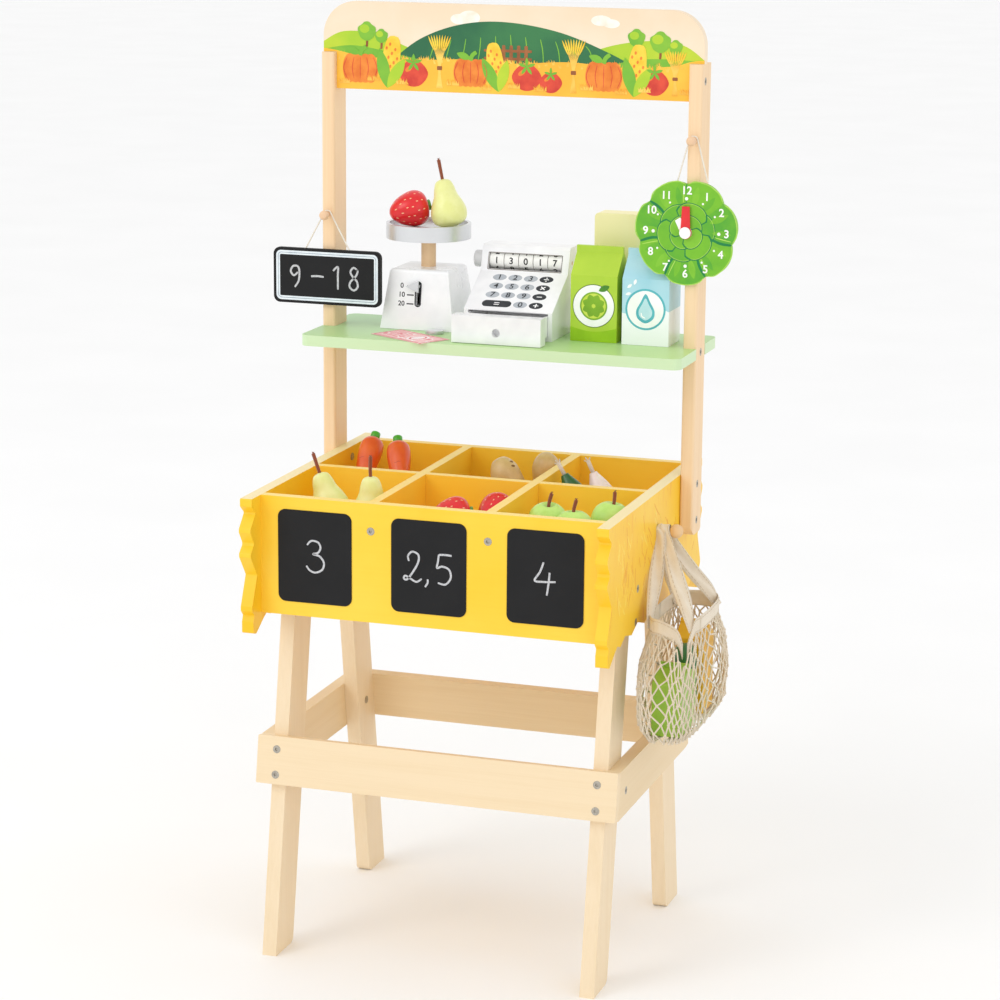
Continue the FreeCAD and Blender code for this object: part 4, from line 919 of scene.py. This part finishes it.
class Drum(Print):
    """Prints wrapped round a roller."""

    def at(self, x, y, lift):
        angle = y / 0.011
        reach = 0.011 + lift
        return self.origin + Vector((x, -reach * math.cos(angle), reach * math.sin(angle)))


drums = Drum((0.007, 0.15681, 0.77405), (1, 0, 0), (0, 0, 1))
for k in range(5):
    x = (k - 2) * 18.0
    for turn in range(6):
        digit = (k * 3 + turn + (1, 0, 4, 2, 5)[k]) % 10
        drums.text(str(digit), x, turn * 11.52, 11.0, 1, 0, 0.22, 12)
drums.make("roller_digits", [ink("digit_black", "#232326", "#1a1a1d", 100)], "rollers")

# Cartons: printed wooden blocks. The labels carry a plain slice of fruit and a plain drop.
dress(satin("juice_lime", "#b4d52b", "#abcf25", 0.34, 0.35), "juice_carton")
made, tree, shader = material("milk_two_tone", 0.34, Coat_Weight=0.35, Coat_Roughness=0.15)
place = split(tree)
wave = add(tree, "Math", {0: calc(tree, "MULTIPLY", place[0], 95.0)}, operation="SINE").outputs[0]
level_line = calc(tree, "ADD", calc(tree, "MULTIPLY", wave, 0.004), place[2])
side_of = rise(tree, level_line, 0.7322, 0.7328)
tint(tree, shader, mix(tree, side_of, "#f7fbfc", ramp(tree, cloud(tree, 25, 2), (0.3, "#9dd3e2"), (0.7, "#b3deea"))))
bump(tree, shader, cloud(tree, 500, 3), 0.06, 0.0001)
dress(made, "milk_carton")
carton_inks = [ink("label_white", "#ffffff", "#f6f8f4", 60), ink("label_line", "#5d7a1c", "#4d6918", 60),
               ink("lime_light", "#d3e45c", "#c8dd48", 40), ink("fruit_green", "#86b52a", "#78a726", 50),
               ink("lime_deep", "#9cc91c", "#94c218", 50), ink("teal", "#5fbcc6", "#52b0bb", 50),
               ink("pale_blue", "#c8e9ee", "#b9e1e7", 50), ink("leaf_dark", "#4f8f2c", "#42802a", 50)]
front = Print((0.1055, 0.0980, 0.6928), (1, 0, 0), (0, 0, 1))
front.flat([(-27.9, 0.3)] + [(27.9, 0.3)] + [(27.9 - 55.8 * k / 16, 17 - 5 * math.sin(math.pi * k / 16))
                                             for k in range(17)], 1, 4)
front.flat(ellipse(0, 42, 25.4), 2, 1)
front.flat(ellipse(0, 42, 24.5), 3, 0)
front.flat(ellipse(0, 42, 16.5, count=60), 4, 3)
front.flat(ellipse(0, 42, 14.6, count=60), 5, 2)
for k in range(8):
    a = math.pi * (k + 0.5) / 4
    front.flat(leaf(2.0 * math.cos(a), 42 + 2.0 * math.sin(a), 12.0, 9.4, math.degrees(a)), 6, 3)
front.flat(leaf(6, 60, 14, 7, 25), 7, 7)
front.make("juice_label", carton_inks, "juice")
front = Print((0.1685, 0.0950, 0.6928), (1, 0, 0), (0, 0, 1))
front.flat(ellipse(0, 42, 24.0), 1, 5)
front.flat(ellipse(0, 42, 21.6), 2, 0)
front.flat(blob([(0, 60), (-6, 50), (-11, 40), (-9, 31), (0, 26), (9, 31), (11, 40), (6, 50)]), 3, 5)
front.flat(blob([(0, 55), (-4, 48), (-8, 40), (-6.5, 33.5), (0, 29.5), (6.5, 33.5), (8, 40), (4, 48)]), 4, 6)
front.flat(stroke([(-5, 38), (-4, 34), (0, 32)], 1.5, 0.4), 5, 0)
for x, z, turn in ((-22, 66, 40), (-14, 70, 70), (-24, 58, 20)):
    front.flat(leaf(x, z, 7, 3.4, turn), 3, 0)
front.make("milk_label", carton_inks, "milk")
dress(paint("cheese_paint", "#f6efb8", "#efe7a8", 0.42, 2), "cheese_block")

# Banknote: rose and white lattice print with a plain frame; nothing on it is from real money
made, tree, shader = material("note_paper", 0.7, Specular_IOR_Level=0.2)
turn_note = stretched(tree, (1, 1, 1), (0, 0, math.radians(30)))
rings = add(tree, "TexWave", {"Vector": turn_note, "Scale": 62.0, "Distortion": 5.0, "Detail": 2.0},
            wave_type="RINGS").outputs[1]
tone = ramp(tree, rings, (0.30, "#f6c6c6"), (0.55, "#fdf1ee"), (0.80, "#e98b93"))
tint(tree, shader, tone)
bump(tree, shader, cloud(tree, 800, 3), 0.1, 0.0001)
dress(made, "banknote")
c30 = math.cos(math.radians(-30))
s30 = math.sin(math.radians(-30))
note = Print((-0.104, 0.054, 0.6932), (c30, s30, 0), (-s30, c30, 0))
note_inks = [ink("note_rose", "#e2646f", "#d75865", 60), ink("note_white", "#fff7f5", "#fbeeee", 60)]
note.band(round_box(-42.5, -21.5, 42.5, 21.5, 1), round_box(-40.5, -19.5, 40.5, 19.5, 1), 1, 0)
note.flat(ellipse(14, 0, 12, 15), 1, 1)
note.flat(ellipse(14, 0, 9, 12), 2, 0)
note.flat(ellipse(14, 0, 6.5, 9.5), 3, 1)
for k in range(5):
    note.flat(stroke([(-36, 12 - 6 * k), (-22, 14 - 6 * k), (-8, 11 - 6 * k)], 1.2, 0.3), 1, 0)
note.make("note_print", note_inks, "banknote")


# Play food: turned shapes with the same profiles and places as the CAD solids
def profile(shares, radius, height):
    line = smooth_line([Vector((r * radius, z * height, 0)) for r, z in shares], 5)
    return [(max(p.x, 0), p.y) for p in line]


pear_line = [(0, 0)] + profile([(0.40, 0), (0.86, 0.10), (1, 0.28), (0.88, 0.47), (0.66, 0.65), (0.55, 0.82),
                                (0.38, 0.95), (0, 1)], 21.5, 57)
apple_line = profile([(0, 0.10), (0.18, 0.04), (0.38, 0), (0.80, 0.18), (1, 0.50), (0.85, 0.82), (0.45, 1),
                      (0.2, 0.96), (0, 0.88)], 22.5, 41)
berry_line = profile([(0, 0), (0.35, 0.06), (0.75, 0.28), (0.98, 0.60), (0.92, 0.82), (0.60, 0.97), (0, 1)], 21.5, 47)
carrot_line = [(0, 0)] + profile([(0.32, 0), (0.70, 0.30), (0.93, 0.60), (1, 0.78), (0.92, 0.91), (0.66, 0.98),
                                  (0.42, 1)], 14.3, 74) + [(0, 74)]
potato_line = profile([(0, 0), (0.55, 0.05), (0.95, 0.28), (1, 0.50), (0.93, 0.75), (0.50, 0.96), (0, 1)], 17.5, 56)
bulb_line = profile([(0, 0), (0.60, 0.06), (1, 0.36), (0.80, 0.65), (0.40, 0.92), (0.30, 1)], 15, 50) + [(0, 50)]


def cap_line(radius, low, high, edge=0.8):
    """A short round stub with softened ends."""
    return [(0, low), (radius, low), (radius, high - edge), (radius - edge * 0.3, high - edge * 0.3),
            (radius - edge, high), (0, high)]


def radius_at(line, z):
    for (r0, z0), (r1, z1) in zip(line, line[1:]):
        if z0 <= z <= z1 and z1 > z0:
            return r0 + (r1 - r0) * (z - z0) / (z1 - z0)
    return 0.0


def stand(shapes, across, along, floor, tilt, turn):
    """Lean shapes about X, turn them about Z and set them down, centred on a place, all in millimetres.

    The first two shapes, body and stem, fix the place; the others are details that go along.
    """
    rot = Matrix.Rotation(math.radians(turn), 4, "Z") @ Matrix.Rotation(math.radians(tilt), 4, "X")
    spun = [[rot @ Vector(v) for v in verts] for verts, faces, mat in shapes]
    both = spun[0] + spun[1]
    low = [min(v[i] for v in both) for i in range(3)]
    high = [max(v[i] for v in both) for i in range(3)]
    shift = Vector((across - (low[0] + high[0]) / 2, along - (low[1] + high[1]) / 2, floor + 0.3 - low[2]))
    return [([(v + shift) / 1000 for v in verts], shape[1], shape[2]) for verts, shape in zip(spun, shapes)]


def boxed(shapes, column, row, across, along, tilt, turn):
    """A shape stood in a tray box, at a place given in shares of half the box's size."""
    return stand(shapes, column * 137 + across * 63, row * 81.75 + along * 76.25, bed, tilt, turn)


def on_turned(line, angle, z, points, lift=0.25):
    """A small outline laid on a turned surface at an angle and a height."""
    out = []
    for u, v in points:
        r = radius_at(line, z + v) + lift
        a = angle + u / max(r, 2)
        out.append((r * math.cos(a), r * math.sin(a), z + v))
    return out


def stub(radius, low, high):
    return turned(cap_line(radius, low, high), 24)


def cord_stem(base, height, sway, seed):
    """A short twisted cord stem with frayed ends."""
    rng_stem = random.Random(seed)
    line = smooth_line([(0, 0, base - 3), (0, 0, base + height * 0.3), (sway * 0.5, sway * 0.2, base + height * 0.7),
                        (sway, sway * 0.4, base + height)], 6)
    shapes = [rope(line, 1.9, 10, (1.0, 1.15))]
    end = line[-1]
    for k in range(7):
        a = 2 * math.pi * k / 7
        flare = Vector((math.cos(a) * rng_stem.uniform(0.8, 2.0), math.sin(a) * rng_stem.uniform(0.8, 2.0),
                        rng_stem.uniform(1.2, 2.6)))
        shapes.append(rope([end - Vector((0, 0, 1.5)), end + flare * 0.4, end + flare], 0.38, 6, (1, 0.5)))
    return shapes


def skin(name, colour, shade, spots=None, rough=0.42, coat=0.25, scale=70.0):
    """Painted fruit: two tones in soft patches, and fine specks where the real one has them."""
    made, tree, shader = material(name, rough, Coat_Weight=coat, Coat_Roughness=0.2)
    tone = mix(tree, ramp(tree, cloud(tree, scale, 4), (0.36, 0.0), (0.66, 1.0)), colour, shade)
    if spots:
        dots = add(tree, "TexVoronoi", {"Vector": stretched(tree, (1, 1, 1)), "Scale": 420.0}).outputs["Distance"]
        tone = mix(tree, ramp(tree, dots, (0.10, 0.35), (0.20, 0.0)), tone, spots)
    tint(tree, shader, tone)
    bump(tree, shader, cloud(tree, 700, 3), 0.12, 0.00015)
    return made


stem_cord = cotton("stem_cord", "#a35a3c", "#7d3f2b", 1400)
pale_cord = cotton("pale_cord", "#f4e9e0", "#dccab8", 1400)
pear_skin = skin("pear_skin", "#eef0a6", "#e6e993", "#d8d57e")
apple_skin = skin("apple_skin", "#c5ea7c", "#b4de66", "#d9f2a0")
berry_skin = skin("berry_skin", "#e20d17", "#d60a15", None, 0.28, 0.25)
seed_pale = satin("seed_pale", "#f9c9a0", "#f3b884")
berry_cap = satin("berry_cap", "#5ea63a", "#4f9733")
carrot_skin = skin("carrot_skin", "#ee6a1f", "#e3531a", None, 0.36, 0.35, 40)
carrot_cap = satin("carrot_cap", "#4fb52c", "#45a628")
potato_skin = skin("potato_skin", "#dbbb83", "#cfac71", "#bd9760")
potato_eye = satin("potato_eye", "#8a5f2e", "#7a5227", 0.6, 0.0)
bulb_skin = skin("bulb_skin", "#f6ece8", "#efdcdc", None, 0.35, 0.4)
green_skin = skin("green_skin", "#2f6b35", "#265a2e", "#4a8a44", 0.38, 0.3)


def corded(line, low, high, base, height, sway, seed):
    """A fruit with a cord stem; the stub without faces only fixes the place, as in the CAD solid."""
    stems = [(verts, faces, 1) for verts, faces in cord_stem(base, height, sway, seed)]
    return [turned(line) + (0,), (stub(1.5, low, high)[0], [], 0)] + stems


def pear_shapes(seed, sway):
    return corded(pear_line, 54, 81, 57, 22.5, sway, seed)


def apple_shapes(seed, sway):
    return corded(apple_line, 34.85, 53.85, 37, 16.5, sway, seed)


def berry_shapes(seed):
    shapes = [turned(berry_line) + (0,), stub(6.45, 44.65, 50.29) + (2,)]
    for row in range(6):
        z = 7 + row * 6.4
        count = max(4, int(radius_at(berry_line, z) * 2 * math.pi / 10.5))
        for k in range(count):
            a = 2 * math.pi * (k + 0.5 * (row % 2)) / count
            dash = on_turned(berry_line, a, z, ellipse(0, 0, 0.65, 1.35, 0, 12), 0.2)
            shapes.append((dash, [tuple(range(12))], 1))
    return shapes


def carrot_shapes():
    shapes = [turned(carrot_line) + (0,), stub(5.72, 71.8, 82.88) + (1,)]
    for z, a0 in ((58, 0.3), (50, 2.6), (40, 4.4), (30, 1.2), (20, 3.3)):
        groove = [(u, 0.5 * math.sin(u)) for u in [-4 + 0.8 * k for k in range(11)]]
        dash = on_turned(carrot_line, a0, z, stroke(groove, 0.8, 0.2, 2), 0.12)
        shapes.append((dash, [tuple(range(len(dash)))], 2))
    return shapes


def potato_shapes(seed):
    rng_eye = random.Random(seed)
    verts, faces = turned(potato_line)
    shapes = [(verts, faces, 0), (verts, [], 0)]
    for k in range(7):
        a = rng_eye.uniform(0, 2 * math.pi)
        z = rng_eye.uniform(10, 48)
        eye = on_turned(potato_line, a, z, leaf(-3, 0, 6.2, 3.0, rng_eye.uniform(-25, 25), 6), 0.2)
        shapes.append((eye, [tuple(range(len(eye)))], 1))
    return shapes


def produce(name, body, mats, items, *replaced):
    """One piece made of several stood shapes; replaces CAD nodes."""
    build = Build()
    for shapes in items:
        for verts, faces, mat in shapes:
            build.put(verts, faces, mat)
    made = flip_out(build.make(name, mats, body))
    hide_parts(*replaced)
    return made


bed = 498.0
produce("pears_dressed", "pears", [pear_skin, stem_cord],
        [boxed(pear_shapes(1, -3), -1, -1, -0.206, -0.043, 20, -90),
         boxed(pear_shapes(2, 1), -1, -1, 0.60, -0.04, 3, -30)], "pears")
produce("strawberries_dressed", "strawberries", [berry_skin, seed_pale, berry_cap],
        [boxed(berry_shapes(3), 0, -1, 0.0, -0.11, 80, 115),
         boxed(berry_shapes(4), 0, -1, 0.65, 0.31, 78, 170)], "strawberries")
produce("apples_dressed", "apples", [apple_skin, stem_cord],
        [boxed(apple_shapes(5, 3), 1, -1, -0.41, -0.08, 8, 40),
         boxed(apple_shapes(6, -3), 1, -1, 0.19, -0.41, 6, 200),
         boxed(apple_shapes(7, 2), 1, -1, 0.62, 0.285, 10, 120)], "apples")
produce("carrots_dressed", "carrots", [carrot_skin, carrot_cap, satin("carrot_ring", "#cf4a17", "#c34315")],
        [boxed(carrot_shapes(), -1, 1, -0.556, 0.134, -45, 0),
         boxed(carrot_shapes(), -1, 1, 0.127, 0.0, -45, 25)], "carrots")
produce("potatoes_dressed", "potatoes", [potato_skin, potato_eye],
        [boxed(potato_shapes(8), 0, 1, 0.14, 0.0, 28, -90),
         boxed(potato_shapes(9), 0, 1, 0.70, 0.53, 20, 0),
         boxed(potato_shapes(10), 0, 1, -0.476, -0.48, 85, 90)], "potatoes")


def bulb_shapes(seed, body_mat):
    shapes = [turned(bulb_line) + (body_mat,), stub(2.4, 46.5, 65.5) + (2,)]
    for k in range(5):
        a = 2 * math.pi * k / 5
        tip = Vector((math.cos(a) * 4.2, math.sin(a) * 4.2, 68 + 1.5 * math.sin(k * 2.3 + seed)))
        verts, faces = rope([(0, 0, 58), tip * 0.4 + Vector((0, 0, 38)), tip], 0.9, 8, (1, 0.7))
        shapes.append((verts, faces, 2))
    return shapes


produce("salad_onions_dressed", "salad_onions", [bulb_skin, green_skin, pale_cord],
        [boxed(bulb_shapes(1, 0), 1, 1, -0.15, -0.21, 25, -90),
         boxed(bulb_shapes(2, 1), 1, 1, -0.61, -0.416, 30, -90)], "salad_onions")
pan_bed = 810.8
produce("scale_strawberry_dressed", "scale_strawberry", [berry_skin, seed_pale, berry_cap],
        [stand(berry_shapes(11), -113 - 0.40 * 50.5, 142 - 0.11 * 50.5, pan_bed, 78, 120)], "scale_strawberry")
produce("scale_pear_dressed", "scale_pear", [pear_skin, stem_cord],
        [stand(pear_shapes(12, -2), -113 + 0.53 * 50.5, 142 - 0.08 * 50.5, pan_bed, 12, -90)], "scale_pear")

# Net bag: knotted cotton net below a canvas hem, with two canvas handles over the peg
net_cotton = cotton("net_cotton", "#f7ecd9", "#e0cdae", 1100)
bag_x = 253.0
bag_y = -20.0
bag_low = 284
hem_low = 402
hem_high = 420


def bag_point(turn_share, z, grow=0.0):
    """A point of the bag's side at a share of the way round and a height, in millimetres."""
    share = (z - bag_low) / (hem_low - bag_low)
    marks = ((0.0, 0.68, 0.85), (0.12, 0.95, 0.96), (0.42, 1.0, 1.0), (0.71, 0.96, 0.94), (1.0, 0.78, 0.68),
             (1.3, 0.78, 0.68))
    sx, sy = marks[0][1:]
    for a, b in zip(marks, marks[1:]):
        if a[0] <= share <= b[0]:
            t = (share - a[0]) / (b[0] - a[0])
            sx = a[1] + (b[1] - a[1]) * t
            sy = a[2] + (b[2] - a[2]) * t
    angle = 2 * math.pi * turn_share
    c = math.cos(angle)
    d = math.sin(angle)
    return Vector((bag_x + (37 * sx + grow) * math.copysign(abs(c) ** 0.6, c),
                   bag_y + (106 * sy + grow) * math.copysign(abs(d) ** 0.6, d), z))


def slit(turn_share):
    """How far the hem dips at the V-shaped slit at the front outer corner."""
    away = min(abs(turn_share - 0.83), 1 - abs(turn_share - 0.83))
    return 34 * max(0.0, 1 - away / 0.075) ** 1.2


columns = 40
levels = 11
rng = random.Random(5)
knots = {}
for j in range(levels + 1):
    for i in range(columns):
        share = ((i + 0.5 * (j % 2)) / columns) % 1.0
        v = (j / levels) ** 0.9
        top_z = 403 - slit(share)
        z = bag_low + v * (top_z - bag_low) + (rng.uniform(-2.2, 2.2) if 0 < j < levels else 0)
        p = bag_point((share + (rng.uniform(-0.004, 0.004) if j < levels else 0)) % 1.0, z, -0.4)
        if 0 < j < levels:
            p += Vector((rng.uniform(-0.8, 0.8), rng.uniform(-0.8, 0.8), 0))
        knots[i, j] = p
for ring, size in ((1, 0.62), (2, 0.25)):
    for i in range(columns):
        share = ((i + 0.5 * (ring % 2)) / columns) % 1.0
        edge = bag_point(share, bag_low)
        centre = Vector((bag_x, bag_y, bag_low))
        knots[i, -ring] = centre + (edge - centre) * size + Vector((0, 0, 0.9))
net = Build()


def strand(a, b, radius=0.95):
    middle = (a + b) / 2 + Vector((rng.uniform(-0.5, 0.5), rng.uniform(-0.5, 0.5), rng.uniform(-0.6, 0.2)))
    verts, faces = rope([a, (a * 0.7 + middle * 0.3) + (middle - (a + b) / 2) * 0.5, middle,
                         (b * 0.7 + middle * 0.3) + (middle - (a + b) / 2) * 0.5, b], radius, 6)
    net.put([v / 1000 for v in verts], faces[:-2], 0)


knot_verts, knot_faces = turned([(0, -1.9), (1.35, -1.3), (1.85, 0), (1.35, 1.3), (0, 1.9)], 8)
for (i, j), p in knots.items():
    if j < levels:
        up = j + 1
        shift = 1 if j % 2 else 0
        for k in (i + shift - 1, i + shift):
            strand(p, knots[k % columns, up])
    if j < levels and j > -2:
        net.put([(Vector(v) + p) / 1000 for v in knot_verts], knot_faces, 0)
net_piece = net.make("net_bag", [net_cotton], "bag")
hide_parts("bag_net")

# Canvas: plain weave with stitched edges
made, tree, shader = material("canvas_weave", 0.85, Sheen_Weight=0.3, Specular_IOR_Level=0.2)
warp = add(tree, "TexWave", {"Vector": stretched(tree, (1, 1, 0)), "Scale": 700.0, "Distortion": 0.8},
           bands_direction="DIAGONAL").outputs[1]
weft = add(tree, "TexWave", {"Vector": stretched(tree, (0.2, 0.2, 1)), "Scale": 760.0, "Distortion": 0.8},
           bands_direction="Z").outputs[1]
cloth = add(tree, "Math", {0: warp, 1: weft}, operation="MULTIPLY").outputs[0]
shade = mix(tree, ramp(tree, cloud(tree, 35, 4), (0.35, 0.0), (0.65, 1.0)), "#efe2cd", "#e3d2b8")
tint(tree, shader, mix(tree, cloth, shade, "#f5ebda"))
bump(tree, shader, cloth, 0.5, 0.0003)
canvas_cloth = made
stitch = cotton("stitch_thread", "#d9c29c", "#c9b089", 1500)
canvas = Build()


def ribbon(upper, lower, outward, thick, steps, folds):
    """A canvas strip between two edge lines, with soft lengthwise folds and a stitch line at each edge."""
    top_line = smooth_line(upper, steps)
    low_line = smooth_line(lower, steps)
    out = Vector(outward).normalized()
    across = 8
    count = len(top_line)

    def fold(t, n):
        return folds * math.sin(t * math.pi * 2.5 + n * 0.35)

    def seam(t, n):
        return top_line[n].lerp(low_line[n], t) + out * (thick * 0.52 + fold(t, n))

    verts = []
    for side_way in (0.5, -0.5):
        for n in range(count):
            for m in range(across + 1):
                t = m / across
                p = top_line[n].lerp(low_line[n], t)
                roll_in = 0.35 * thick * (abs(2 * t - 1) ** 4)
                verts.append((p + out * (side_way * thick + fold(t, n) - roll_in * side_way * 2)) / 1000)
    faces = []
    wide = across + 1
    layer = count * wide
    for n in range(count - 1):
        for m in range(across):
            a = n * wide + m
            faces.append((a, a + 1, a + wide + 1, a + wide))
            faces.append((layer + a, layer + a + wide, layer + a + wide + 1, layer + a + 1))
    for n in range(count - 1):
        for m in (0, across):
            a = n * wide + m
            quad = (a, a + wide, layer + a + wide, layer + a)
            faces.append(quad if m == 0 else quad[::-1])
    for n in (0, count - 1):
        for m in range(across):
            a = n * wide + m
            faces.append((a, layer + a, layer + a + 1, a + 1) if n == 0 else (a, a + 1, layer + a + 1, layer + a))
    canvas.put(verts, faces, 0)
    for t in (0.14, 0.86):
        for n in range(0, count - 1):
            a = seam(t, n)
            b = seam(t, n + 1)
            canvas.put(*rope([a.lerp(b, 0.15) / 1000, a.lerp(b, 0.8) / 1000], 0.00028, 5), 1)


def hem_line(shares, height):
    return [bag_point(s % 1.0, hem_low, 0.4).xy.to_3d() + Vector((0, 0, height - slit(s % 1.0))) for s in shares]


# The hem goes round from the slit by the outer side, the back end and the inner side to the slit again
hem_shares = [0.845, 0.87, 0.90, 0.94, 1.0, 1.06, 1.12, 1.18, 1.25, 1.32, 1.38, 1.44, 1.5, 1.56, 1.62, 1.68, 1.73,
              1.78, 1.815]
for a, b in zip(range(0, len(hem_shares) - 3, 3), range(3, len(hem_shares), 3)):
    part = hem_shares[a:b + 1]
    middle = bag_point(part[1] % 1.0, 410) - Vector((bag_x, bag_y, 410))
    middle.z = 0
    ribbon(hem_line(part, hem_high), hem_line(part, hem_low), middle, 2.0, 5, 0.3)
# Handles: each goes from the hem over the peg and back, bunched where it lies on the peg
for x_peg, x_low, lift, outward in ((218.0, 229.0, 0.0, (0.5, -0.8, 0.2)), (222.0, 277.0, 2.0, (0.75, -0.35, 0.2))):
    top_z = 505.2 + lift
    for fore in (-1, 1):
        foot_y = bag_y + fore * 58
        centre = [Vector((x_peg, 0, top_z)), Vector((x_peg, fore * 4.8, top_z - 3.4)),
                  Vector((x_peg + (x_low - x_peg) * 0.12, fore * 8.5, 488)),
                  Vector((x_peg + (x_low - x_peg) * 0.45, foot_y * 0.42 + fore * 3, 455)),
                  Vector((x_peg + (x_low - x_peg) * 0.82, foot_y * 0.80, 428)), Vector((x_low, foot_y, 408))]
        widths = [6.4, 6.4, 7.6, 9.4, 10.4, 10.6]
        ways = [Vector((1, 0, 0)), Vector((1, 0, 0)), Vector((0.96, 0.2 * fore, 0.1)), Vector((0.7, 0.6, 0.1)),
                Vector((0.35, 0.9, 0.15)), Vector((0.1, 1, 0.1))]
        upper = [c + w.normalized() * s for c, w, s in zip(centre, ways, widths)]
        lower = [c - w.normalized() * s for c, w, s in zip(centre, ways, widths)]
        ribbon(upper, lower, outward, 1.7, 7, 1.2)
canvas_piece = canvas.make("bag_canvas_dressed", [canvas_cloth, stitch], "bag")
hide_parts("bag_canvas")

# Shopping in the bag: two cartons and a cucumber
lime_carton = satin("bag_lime", "#a5cf3c", "#93c233", 0.36, 0.3)
yellow_carton = satin("bag_yellow", "#f6c321", "#efb312", 0.36, 0.3)
cucumber_skin = skin("cucumber_skin", "#2f7a3a", "#256331", "#3f8f45", 0.35, 0.35, 50)


def gable(x0, x1, y0, y1, z0, shoulder, top):
    mid = (y0 + y1) / 2
    outline = [(y0, z0), (y0, shoulder), (mid - 2, top - 5), (mid - 2, top), (mid + 2, top), (mid + 2, top - 5),
               (y1, shoulder), (y1, z0)]
    verts = [(x / 1000, y / 1000, z / 1000) for x in (x0, x1) for y, z in outline]
    n = len(outline)
    faces = [tuple(range(n)), tuple(range(2 * n - 1, n - 1, -1))]
    faces += [((k + 1) % n, k, n + k, n + (k + 1) % n) for k in range(n)]
    return verts, faces


shopping = Build()
shopping.put(*gable(236, 270, -92, -28.5, 286.2, 348, 364), 0)
shopping.put(*gable(236, 270, 6.5, 50, 286.2, 374, 392.4), 1)
shopping_piece = flip_out(shopping.make("shopping", [lime_carton, yellow_carton], "bag", smooth=False))
bevel = shopping_piece.modifiers.new("bevel", "BEVEL")
bevel.width = 0.0009
bevel.segments = 2
bpy.context.view_layer.objects.active = shopping_piece
bpy.ops.object.modifier_apply(modifier=bevel.name)
rod = Build()
cucumber_line = profile([(0, 0), (0.55, 0.02), (0.85, 0.08), (0.97, 0.25), (1, 0.5), (0.97, 0.75), (0.85, 0.92),
                         (0.55, 0.98), (0, 1)], 13.7, 87.3)
cv, cf = turned(cucumber_line, 40)
rod.put([((v[0] * (1 + 0.03 * math.cos(8 * math.atan2(v[1], v[0]))) + bag_x) / 1000,
          (v[1] * (1 + 0.03 * math.cos(8 * math.atan2(v[1], v[0]))) - 11) / 1000, (v[2] + 286.2) / 1000)
         for v in cv], cf, 0)
cucumber_piece = rod.make("cucumber", [cucumber_skin], "bag")
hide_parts("bag_contents")

# Studio
floor_mesh = bpy.data.meshes.new("floor")
floor_mesh.from_pydata([(-30, -30, 0), (30, -30, 0), (30, 30, 0), (-30, 30, 0)], [], [(0, 1, 2, 3)])
floor = bpy.data.objects.new("floor", floor_mesh)
bpy.context.collection.objects.link(floor)
made, tree, shader = material("studio_floor", 0.75, Specular_IOR_Level=0.2)
tint(tree, shader, ramp(tree, cloud(tree, 3.0, 2), (0.3, 0.94), (0.7, 0.96)))
floor_mesh.materials.append(made)
world = bpy.data.worlds.new("studio")
bpy.context.scene.world = world
world.use_nodes = True
world.node_tree.nodes["Background"].inputs[0].default_value = (1, 1, 1, 1)
world.node_tree.nodes["Background"].inputs[1].default_value = 1.0


def soft_light(name, place, aim, size, power):
    data = bpy.data.lights.new(name, "AREA")
    data.shape = "DISK"
    data.size = size
    data.energy = power
    made = bpy.data.objects.new(name, data)
    bpy.context.collection.objects.link(made)
    made.location = place
    made.rotation_euler = (Vector(aim) - Vector(place)).to_track_quat("-Z", "Y").to_euler()


soft_light("key", (-2.2, -3.0, 3.0), (0, 0, 0.6), 2.2, 30)
soft_light("fill", (2.6, -2.6, 1.8), (0, 0, 0.6), 2.6, 5)
